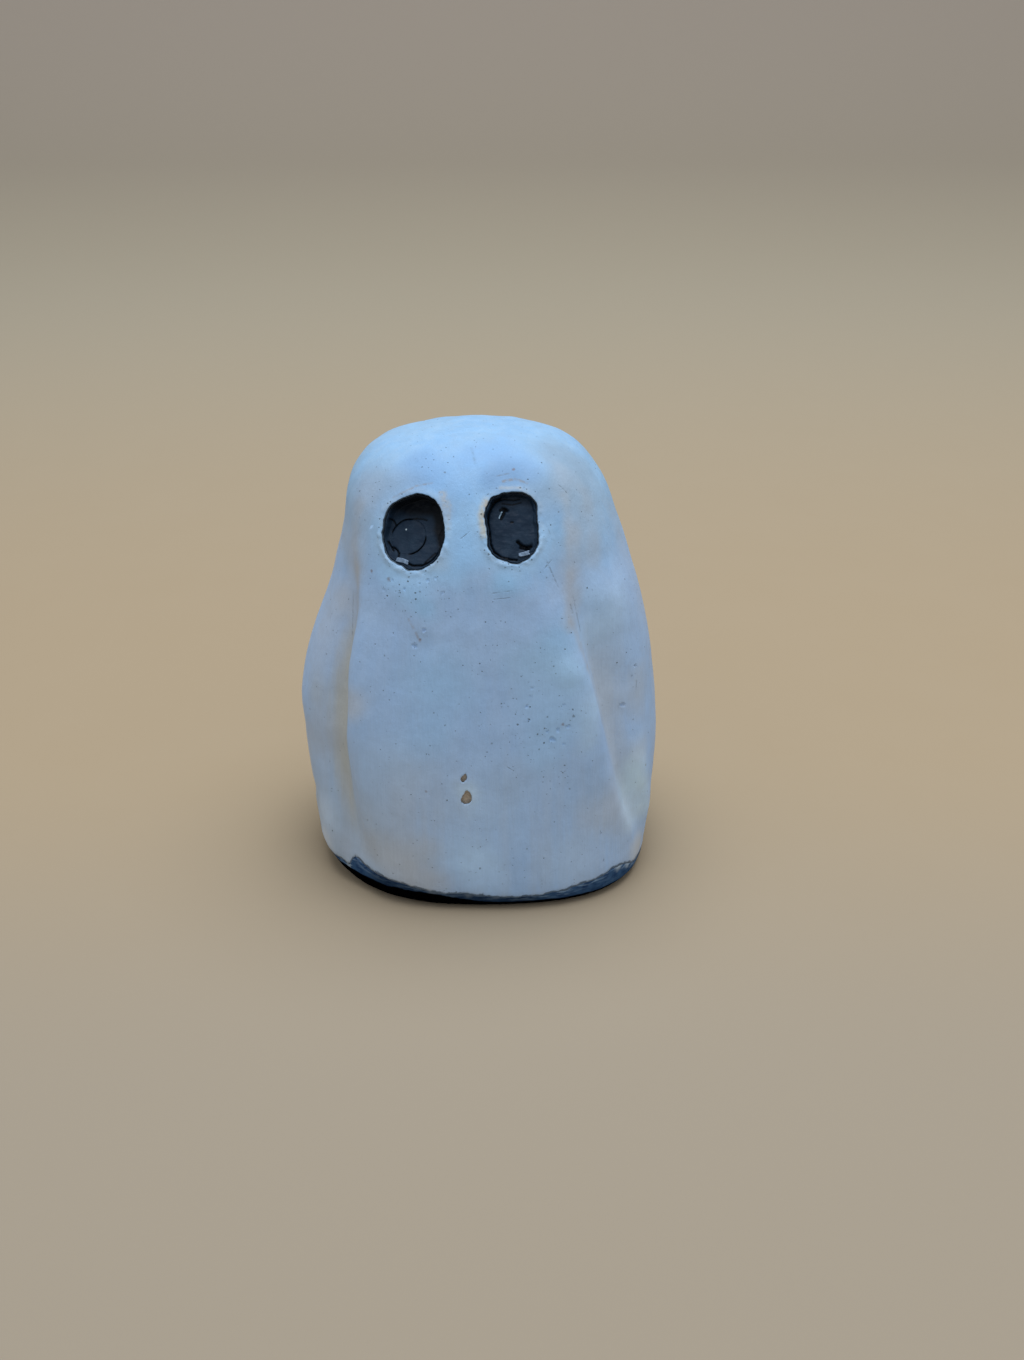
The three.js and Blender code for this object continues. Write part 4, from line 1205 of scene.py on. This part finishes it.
def build_stroke(t, given):
    """A thin line from one place to another, paler at its ends: 1 on it and 0 beside it."""
    line = t.vector("SUBTRACT", given["End"], given["Start"])
    out = t.vector("SUBTRACT", given["Place"], given["Start"])
    long, whole = t.vector("DOT_PRODUCT", out, line, 1), t.vector("DOT_PRODUCT", line, line, 1)
    share = t.math("DIVIDE", long, whole, clamp=True)
    away = t.length(t.vector("SUBTRACT", out, t.scaled(line, share)))
    ends = t.times(share, t.less(1.0, share), 4.0)
    broken = t.ramp(t.noise(given["Place"], 1.6), 0.38, 0.6, 0.35, 1.0)
    return t.times(t.ramp(away, 0.0, given["Width"], 1.0, 0.0), t.times(t.ramp(ends, 0.0, 0.5), broken))


ORIGIN = (0.0, 0.0, 0.0)
STREAKS = effect("brush_streaks", {"Place": ORIGIN, "Width": 0.4, "Length": 6.0}, build_streaks)
PINHOLES = effect("pinholes", {"Place": ORIGIN, "Spacing": 1.5, "Radius": 0.2, "Share": 0.5}, build_pinholes)
SPOT = effect("spot", {"Place": ORIGIN, "Centre": ORIGIN, "Radius": 1.0, "Core": 0.4}, build_spot)
STROKE = effect("stroke", {"Place": ORIGIN, "Start": ORIGIN, "End": (1.0, 0.0, 0.0), "Width": 0.15},
                build_stroke)
DIMMED = 0.926  # share of every colour that is painted, under light that is stronger by as much


def on_coat(turn, height):
    """A point of the coat's surface, for a mark on it."""
    return tuple(sheet(np.array([turn], float), step_at(np.array([height], float)))[0])


def on_floor(hole, eye, right, up):
    """A point on an eye's floor, for a mark on it."""
    flat = np.array([[right, up]])
    return tuple(hole.seat.world(flat, floor_level(flat, eye, False))[0])


def new_finish(name, roughness, specular=0.5):
    """A material, its tree and shader, and the place of each point in millimetres."""
    material = bpy.data.materials.new(name)
    material.use_nodes = True
    t = Tree(material.node_tree)
    shader = material.node_tree.nodes["Principled BSDF"].inputs
    shader["Specular IOR Level"].default_value = specular
    shader["Roughness"].default_value = roughness
    return material, t, shader, t.scaled(t.node("ShaderNodeTexCoord", output=3), 1 / MM)


def cover(t, shader, paint, rough=None, relief=None, strength=0.9):
    """Joins a colour, a roughness and a relief in millimetres to a shader."""
    t.feed(shader["Base Color"], t.mix(1.0, paint, (DIMMED, DIMMED, DIMMED), "MULTIPLY"))
    if rough is not None:
        t.feed(shader["Roughness"], rough)
    if relief is not None:
        bump = {"Strength": strength, "Distance": MM, "Height": relief}
        t.feed(shader["Normal"], t.node("ShaderNodeBump", bump))


def dab(t, paint, place, spots, core, strength, tint):
    """Lays soft-edged spots over a paint, each with its turn, height and radius."""
    for turn, height, radius in spots:
        spot = t.group(SPOT, Place=place, Centre=on_coat(turn, height), Radius=radius, Core=core)
        paint = t.mix(t.times(spot, strength), paint, tint)
    return paint


# Thin lines of another colour, down the sheet and round the eyes: turn and height of each end, width,
# strength, colour. The brown and dark ones along the upper edges of the eyes are painted shade.
RUST, BROWN_EYE_SHADE, STONE = (0.3, 0.22, 0.15), (0.27, 0.25, 0.24), (0.45, 0.46, 0.46)
CREAM, DARK_EYE_SHADE = (0.5, 0.42, 0.33), (0.16, 0.2, 0.25)
LINES = [
    ((2.6, 68.4), (0.2, 66), 0.9, 0.9, CREAM), ((0.4, 66.4), (0.2, 63.5), 0.8, 0.8, CREAM),
    ((12, 70.4), (21, 70.7), 0.4, 0.7, BROWN_EYE_SHADE), ((20, 70.8), (28, 70), 0.35, 0.6, BROWN_EYE_SHADE),
    ((-46, 67.6), (-37, 69.6), 0.35, 0.8, BROWN_EYE_SHADE), ((-38, 69.6), (-28, 70.3), 0.3, 0.6, BROWN_EYE_SHADE),
    ((-23, 69.6), (-17, 67), 1, 0.7, STONE), ((-17.5, 68), (-15.5, 64), 0.7, 0.5, STONE),
    ((-29, 51), (-26, 49), 0.4, 0.3, RUST), ((-26, 49), (-24, 47), 0.35, 0.4, RUST),
    ((29.4, 68), (31.2, 63), 0.22, 0.6, DARK_EYE_SHADE), ((9, 71.1), (19, 71.4), 0.25, 0.5, DARK_EYE_SHADE),
    ((-11, 74.2), (-4, 72.4), 0.4, 0.5, (0.16, 0.28, 0.42)),
]
# Spots: turn, height, radius
RUST_SPOTS = [
    (-20.4, 22.4, 0.34), (-24.2, 47.6, 0.3), (-38.5, 56.3, 0.55), (-47, 56.8, 0.4), (-84, 24, 0.3),
    (22, 71.8, 0.4), (28, 33.6, 0.4), (150, 35, 0.4), (100, 20, 0.3),
]
# Dark spots stand for small pinholes: painted shade inside them
DARK_SPOTS = [
    (-1.6, 8.5, 0.3), (15, 12, 0.22), (30, 22, 0.25), (-14, 34, 0.22), (3, 31, 0.24), (62, 21, 0.3),
    (38, 66, 0.22), (-40, 66.5, 0.26), (-24, 71.6, 0.3), (25.5, 43.5, 0.2), (26, 42.3, 0.18),
    (10.5, 40, 0.2), (23, 35, 0.25), (31.5, 34.8, 0.32), (20, 29.5, 0.25), (-18, 36, 0.2),
    (-33.5, 37.5, 0.2), (-36.5, 44.5, 0.22), (-26, 45, 0.2), (55, 33, 0.35), (61, 39, 0.28),
    (-30, 57.2, 0.25), (-33, 55, 0.22), (-25, 55.2, 0.24), (-28, 53.4, 0.2), (-62, 50, 0.2),
    (-70, 30, 0.25), (42, 45, 0.18), (58, 30, 0.2),
]
WHITE_SMEARS = [
    (-19, 3.2, 1.2), (-6, 3.3, 1.1), (4, 2.8, 0.9), (49, 4.6, 1.3), (54, 3.8, 1.2), (-54, 3.6, 0.8),
]
# Scratches: turn and height of each end, width
SCRATCHES = [
    ((3.5, 55.1), (12.5, 55.6), 0.16), ((4, 54.2), (11.5, 54.5), 0.14), ((25.8, 58.2), (30, 59.6), 0.2),
    ((36, 54), (38, 47), 0.22), ((43.6, 69.6), (46.2, 68), 0.16), ((-60, 52), (-57, 44), 0.2),
    ((34.5, 52.6), (35.2, 50.8), 0.25), ((8, 27), (10.5, 26.2), 0.12), ((-10, 63), (-5.5, 64.2), 0.14),
    ((27, 60), (31, 55), 0.2), ((61, 36.5), (60, 34), 0.2),
]


def white_finish():
    """Chalky pale coat: brushed streaks, soft patches, pinholes, rust specks and smears of navy, with painted
    light and shade.
    """
    material, t, shader, place = new_finish("white_coat", 0.6, 0.35)
    fold, rise, rim = (t.written(name) for name in ("fold", "hem_rise", "rim"))
    height, across = t.along(place, "Z"), t.along(place, "X")
    clouds, mottle = t.noise(place, 0.11, 3.0), t.noise(place, 0.5, 4.0, 0.6)
    wide = t.group(STREAKS, Place=place, Width=1.6, Length=16.0)
    fine = t.group(STREAKS, Place=place, Width=0.35, Length=5.0)

    # the ground: two blues, chalky streaks, paler towards the foot as painted light on the less lit body,
    # and dull grey low on the left as painted shade
    paint = t.mix(t.ramp(clouds, 0.3, 0.7), (0.325, 0.565, 0.86), (0.30, 0.56, 0.91))
    paint = t.mix(t.times(t.ramp(wide, 0.35, 0.7), 0.35), paint, (0.40, 0.61, 0.86))
    low = t.ramp(t.plus(height, t.times(clouds, 12.0)), 58.0, 72.0, 1.0, 0.0)
    paint = t.mix(t.times(low, 0.55), paint, (0.46, 0.635, 0.99))
    left_low_shade = t.times(t.ramp(across, -6.0, -24.0), t.ramp(height, 34.0, 8.0))
    paint = t.mix(t.times(left_low_shade, 0.6), paint, (0.44, 0.52, 0.6))

    # grey in the folds' valleys as painted shade, and broad bands down the lower half
    valley = t.plus(fold, t.times(t.less(wide, 0.5), 0.3))
    left_fold_shade = t.times(t.ramp(valley, 0.5, 1.05), t.ramp(across, -6.0, -12.0, 0.0, 0.95))
    right_fold_shade = t.times(t.ramp(valley, 0.15, 0.95), t.ramp(across, 0.0, 10.0, 0.0, 0.6))
    paint = t.mix(left_fold_shade, paint, (0.49, 0.52, 0.51))
    paint = t.mix(right_fold_shade, paint, (0.56, 0.63, 0.7))
    bands = t.ramp(t.group(STREAKS, Place=place, Width=4.2, Length=60.0), 0.4, 0.62)
    bands = t.times(bands, t.ramp(height, 34.0, 14.0))
    paint = t.mix(t.times(bands, 0.28), paint, (0.46, 0.54, 0.67))

    # the soft patches that are written on the mesh, many of them painted light and shade, the thin lines,
    # and an uneven tone over it all
    clear = t.written("tone_and_light", 3)
    paint = t.mix(1.0, paint, t.triple(clear, clear, clear), "MULTIPLY")
    paint = t.mix(1.0, paint, t.written("tone_and_light", 0), "ADD")
    for start, end, width, strength, tint in LINES:
        mark = t.group(STROKE, Place=place, Start=on_coat(*start), End=on_coat(*end), Width=width)
        paint = t.mix(t.times(mark, strength), paint, tint)
    tone = t.plus(t.ramp(fine, 0.3, 0.7, 0.98, 1.02), t.ramp(mottle, 0.3, 0.7, -0.03, 0.025))
    paint = t.mix(1.0, paint, t.triple(tone, tone, tone), "MULTIPLY")

    # paler round each eye, partly paler paint and partly a painted highlight on its raised lip, less so above
    # it and on its outer side, and cream between the eyes
    halo = t.times(t.ramp(rim, 3.0, 0.6), t.ramp(rim, 0.0, 0.5), t.ramp(height, 69.0, 61.0, 0.12, 0.4),
                   t.ramp(across, 8.0, 13.0, 1.0, 0.45), t.ramp(across, -15.0, -19.0, 1.0, 0.6))
    paint = t.mix(halo, paint, (0.45, 0.73, 1.08))
    between = t.group(SPOT, Place=place, Centre=on_coat(0.5, 65.5), Radius=4.2, Core=0.3)
    ring = t.times(t.ramp(rim, 1.5, 0.4), t.ramp(rim, 0.05, 0.3), t.ramp(mottle, 0.4, 0.55))
    paint = t.mix(t.times(ring, t.ramp(between, 0.0, 0.5, 0.12, 0.7)), paint, (0.53, 0.54, 0.47))

    # pinholes: few everywhere, many below the left eye and low on the right, painted dark as the shade
    # inside them
    crowd = t.most(t.group(SPOT, Place=place, Centre=on_coat(-27, 55), Radius=9.0, Core=0.3),
                   t.group(SPOT, Place=place, Centre=on_coat(24, 31), Radius=12.0, Core=0.3))
    share, fine_share = (t.plus(t.times(crowd, 0.5), least) for least in (0.06, 0.16))
    holes = t.group(PINHOLES, Place=place, Spacing=1.1, Radius=0.15, Share=share)
    dust = t.group(PINHOLES, Place=place, Spacing=0.6, Radius=0.095, Share=fine_share)
    holes = t.most(holes, t.times(dust, 0.7))
    near_rim = t.group(PINHOLES, Place=place, Spacing=0.6, Radius=0.13, Share=0.4)
    holes = t.most(holes, t.times(near_rim, t.times(t.ramp(rim, 1.8, 0.5), 0.9)))
    paint = t.mix(t.times(holes, 0.75), paint, (0.11, 0.145, 0.18))
    # painted shade inside each pressed pit
    pits = [(turn, pit_height, radius * 0.6) for turn, pit_height, radius, _ in PITS]
    paint = dab(t, paint, place, pits, 0.2, 0.45, (0.08, 0.1, 0.12))
    paint = dab(t, paint, place, RUST_SPOTS, 0.1, 0.6, (0.2, 0.12, 0.09))
    # dark spots: the painted shade of more, smaller pinholes
    paint = dab(t, paint, place, DARK_SPOTS, 0.1, 0.65, (0.1, 0.13, 0.17))
    marks = 0.0
    for start, end, width in SCRATCHES:
        mark = t.group(STROKE, Place=place, Start=on_coat(*start), End=on_coat(*end), Width=width)
        marks = t.most(marks, mark)
    paint = t.mix(t.times(marks, 0.4), paint, (0.2, 0.27, 0.35))

    # the brushed edge: thin navy over the lowest strip, and black into the cut edges of the eyes
    smear = t.group(STREAKS, Place=place, Width=1.4, Length=1.4)
    navy = t.ramp(t.plus(rise, t.times(smear, -1.6)), -0.62, -0.3, 1.0, 0.0)
    paint = t.mix(t.times(navy, 0.75), paint, (0.03, 0.075, 0.16))
    inward = t.ramp(t.plus(rim, t.times(t.less(mottle, 0.5), 0.25)), 0.06, 0.14, 1.0, 0.0)
    paint = t.mix(t.times(inward, 0.9), paint, (0.03, 0.045, 0.06))

    rough = t.plus(t.ramp(mottle, 0.3, 0.7, 0.54, 0.68), t.times(holes, 0.15))
    relief = t.plus(t.times(fine, 0.05), t.times(t.noise(place, 4.5, 3.0), 0.025), t.times(mottle, 0.1))
    relief = t.less(t.less(relief, t.times(holes, 0.12)), t.times(marks, 0.08))
    cover(t, shader, paint, rough, relief)
    return material


def navy_finish():
    """Brushed navy paint: thin and streaky at its upper edge, with white smears, darker below as painted
    shade.
    """
    material, t, shader, place = new_finish("navy_coat", 0.6, 0.0)
    rise = t.written("hem_rise")
    across, back, height = (t.along(place, axis) for axis in "XYZ")
    strokes, patches = t.group(STREAKS, Place=place, Width=2.4, Length=0.35), t.noise(place, 0.7, 4.0)
    paint = t.mix(t.ramp(patches, 0.3, 0.7), (0.02, 0.052, 0.135), (0.05, 0.115, 0.24))
    paint = t.mix(t.ramp(strokes, 0.5, 0.72, 0.0, 0.5), paint, (0.09, 0.17, 0.31))
    thin = t.times(t.ramp(rise, -1.5, -0.1), t.ramp(strokes, 0.46, 0.6))
    paint = t.mix(t.times(thin, 0.6), paint, (0.27, 0.4, 0.56))
    paint = dab(t, paint, place, WHITE_SMEARS, 0.2, 0.7, (0.4, 0.5, 0.6))

    # at the front, painted shade darkens it in the middle, and painted shadow of the foot's rounded
    # underside turns it black below a line that rises to the left
    front = t.ramp(back, 8.0, -4.0)
    painted_front_shade = t.times(t.ramp(across, 13.0, 5.0, 0.0, 0.65), t.ramp(across, -21.0, -17.0), front)
    paint = t.mix(painted_front_shade, paint, (0.007, 0.014, 0.032))
    higher = t.times(t.ramp(across, 3.0, -12.0, 0.0, 1.7), front)
    line = t.plus(higher, 1.5, t.times(t.less(patches, 0.5), 0.8))
    paint = t.mix(t.ramp(t.less(line, height), -0.1, 0.15), paint, (0.0005, 0.0005, 0.001))
    relief = t.plus(t.times(strokes, 0.08), t.times(patches, 0.05))
    cover(t, shader, paint, t.ramp(patches, 0.3, 0.7, 0.5, 0.7), relief, 0.8)
    return material


def slate_finish(left, right):
    """Dark slate of the pressed eyes: smooth and slightly shiny, with tool marks and dust; its black cracks
    and rim shadows are painted shade, and a nick in the right eye has a painted highlight.
    """
    material, t, shader, place = new_finish("eye_slate", 0.55, 0.14)
    patches, grain = t.noise(place, 0.6, 4.0), t.noise(place, 5.0, 3.0)
    tool = t.noise(t.vector("MULTIPLY", place, (0.9, 0.9, 3.2)), 0.8, 2.0)
    paint = t.mix(t.ramp(patches, 0.3, 0.7), (0.009, 0.0235, 0.05), (0.0145, 0.034, 0.066))
    dust = t.times(t.ramp(grain, 0.55, 0.75), t.ramp(patches, 0.4, 0.65))
    paint = t.mix(t.times(dust, 0.12), paint, (0.2, 0.25, 0.3))
    speck = t.group(PINHOLES, Place=place, Spacing=1.9, Radius=0.1, Share=0.12)
    paint = t.mix(t.times(speck, 0.4), paint, (0.3, 0.36, 0.4))
    # black in the cracks, the pellet's open gap and under the deep rims: painted shade
    paint = t.mix(t.times(t.written("painted_shade"), 0.93), paint, (0.0015, 0.002, 0.003))
    crumb = t.group(SPOT, Place=place, Centre=on_floor(left, LEFT_EYE, -1.85, 0.25), Radius=0.19, Core=0.35)
    paint = t.mix(t.times(crumb, 0.9), paint, (0.5, 0.64, 0.74))
    # a painted highlight on the lit far wall of the right eye's nick
    glint = t.group(STROKE, Place=place, Start=on_floor(right, RIGHT_EYE, -1.0, 2.75),
                    End=on_floor(right, RIGHT_EYE, -1.5, 1.5), Width=0.22)
    paint = t.mix(t.ramp(glint, 0.1, 0.5), paint, (0.3, 0.46, 0.62))
    relief = t.plus(t.times(tool, 0.1), t.times(grain, 0.02))
    cover(t, shader, paint, t.ramp(patches, 0.3, 0.7, 0.45, 0.62), relief, 0.7)
    return material


def clay_finish():
    """Bare tan clay in the chips: dry and grainy, with dark specks."""
    material, t, shader, place = new_finish("clay", 0.85, 0.2)
    patches, grain = t.noise(place, 1.4, 4.0), t.noise(place, 7.0, 3.0)
    paint = t.mix(t.ramp(patches, 0.3, 0.7), (0.43, 0.355, 0.275), (0.54, 0.46, 0.37))
    paint = t.mix(t.ramp(grain, 0.55, 0.75, 0.0, 0.5), paint, (0.18, 0.13, 0.09))
    cover(t, shader, paint, t.ramp(grain, 0.3, 0.7, 0.78, 0.92), t.times(grain, 0.1))
    return material


def flake_finish():
    """Crumbs of the coat, in a darker and greyer blue than the coat."""
    material, t, shader, place = new_finish("coat_flake", 0.6, 0.35)
    patches, grain = t.noise(place, 2.4, 4.0), t.noise(place, 8.0, 2.0)
    paint = t.mix(t.ramp(patches, 0.35, 0.65), (0.15, 0.235, 0.36), (0.25, 0.37, 0.56))
    cover(t, shader, paint, t.ramp(grain, 0.3, 0.7, 0.5, 0.7), t.times(grain, 0.06))
    return material


def floor_finish():
    """Plain matte paper in a pale tan, greyer close by and far back: painted shade in front of the figure,
    and painted light far back.
    """
    material, t, shader, place = new_finish("paper", 0.9, 0.1)
    back = t.along(place, "Y")
    paint = t.mix(t.noise(place, 0.05, 4.0), (0.445, 0.362, 0.252), (0.455, 0.374, 0.266))
    # darker in front as painted shade, paler far back as painted light
    for near, far, tint in ((30.0, -75.0, (0.396, 0.348, 0.278)), (60.0, 420.0, (0.442, 0.404, 0.322)),
                            (420.0, 1200.0, (0.503, 0.448, 0.4))):
        paint = t.mix(t.ramp(back, near, far), paint, tint)
    cover(t, shader, paint)
    return material


# The figure

both_holes = [Hole(eye, RIM_POINTS, *EYE_RAGGED) for eye in (LEFT_EYE, RIGHT_EYE)]
left_socket, right_socket = [Hole(eye, LINING_POINTS, *EYE_RAGGED) for eye in (LEFT_EYE, RIGHT_EYE)]
slate = slate_finish(left_socket, right_socket)
flake = flake_finish()

keep(make_coat(both_holes, white_finish()), "white_coat")
keep(make_clay(both_holes, clay_finish()), "clay_body")
keep(make_foot(navy_finish()), "foot_coat")
keep(make_left_eye(left_socket, slate), "left_eye")
keep(make_pellet(left_socket, slate), "left_eye_pellet")
keep(make_right_eye(right_socket, slate), "right_eye")
left_crumb = make_flake("left_eye_crumb", left_socket, (-1.35, -4.6), (1.95, 0.68), -0.16, -0.95, 3.0, flake)
keep(left_crumb, "left_eye_flake")
right_crumb = make_flake("right_eye_crumb", right_socket, (1.95, -4.1), (1.65, 0.62), 0.2, -0.8, 5.0, flake)
keep(right_crumb, "right_eye_flake")


# The floor, the light and the camera

def make_floor():
    """A sheet of paper that runs back from the figure and curves up behind it."""
    profile = [(-900.0, 0.0), (-300.0, 0.0), (0.0, 0.0), (500.0, 0.0)]
    bend, radius = 700.0, 500.0
    for angle in np.radians(np.linspace(0, 90, 17)):
        profile.append((bend + radius * math.sin(angle), radius * (1 - math.cos(angle))))
    profile.append((bend + radius, 2200.0))
    widths = np.linspace(-1600, 1600, 9)
    points = [(x, y, z) for y, z in profile for x in widths]
    floor = mesh_object("floor", points, ring_faces(len(profile), len(widths), wrap=False), floor_finish())


def add_soft_light(name, place, aim, size, power):
    lamp = bpy.data.lights.new(name, "AREA")
    lamp.shape, lamp.size, lamp.energy = "DISK", size, power
    light = bpy.data.objects.new(name, lamp)
    light.location = place
    light.rotation_euler = (Vector(aim) - Vector(place)).to_track_quat("-Z", "Y").to_euler()
    bpy.context.scene.collection.objects.link(light)


def light_room():
    world = bpy.data.worlds.new("room")
    world.use_nodes = True
    background = world.node_tree.nodes["Background"]
    background.inputs["Color"].default_value = (0.98, 0.99, 1.0, 1.0)
    background.inputs["Strength"].default_value = 0.52 / DIMMED
    bpy.context.scene.world = world
    add_soft_light("overhead", (0.05, 0.06, 0.75), (0, 0, 0), 0.7, 3.98 / DIMMED)


def add_camera():
    """Looks down on the figure from the front, from about 290 mm away."""
    target = np.array([0.0, 0.0, 0.037])
    distance, elevation, lens, sensor = 0.287, math.radians(25), 45.0, 36.0
    wide, tall, target_x, target_y = 1024.0, 1360.0, 479.8, 642.0  # the picture, and the target in it
    focal = lens / sensor * tall
    back = np.array([0.0, -math.cos(elevation), math.sin(elevation)])
    ahead, right = -back, np.array([1.0, 0.0, 0.0])
    up = np.cross(right, ahead)
    # the target stands a little to the left of the picture's middle, and above it
    yaw, pitch = math.atan((target_x - wide / 2) / focal), math.atan((tall / 2 - target_y) / focal)
    ahead, up = (ahead * math.cos(pitch) - up * math.sin(pitch),
                 ahead * math.sin(pitch) + up * math.cos(pitch))
    turned = np.array([[math.cos(yaw), -math.sin(yaw), 0], [math.sin(yaw), math.cos(yaw), 0], [0, 0, 1]])
    right, up, ahead = turned @ right, turned @ up, turned @ ahead
    camera = bpy.data.objects.new("camera", bpy.data.cameras.new("camera"))
    camera.data.lens, camera.data.sensor_width = lens, sensor
    camera.data.clip_start = 0.01
    place = Matrix(np.stack([right, up, -ahead], -1).tolist()).to_4x4()
    place.translation = Vector(target + back * distance)
    camera.matrix_world = place
    bpy.context.scene.collection.objects.link(camera)
    bpy.context.scene.camera = camera


make_floor()
light_room()
add_camera()
bpy.context.scene.view_settings.view_transform = "Standard"
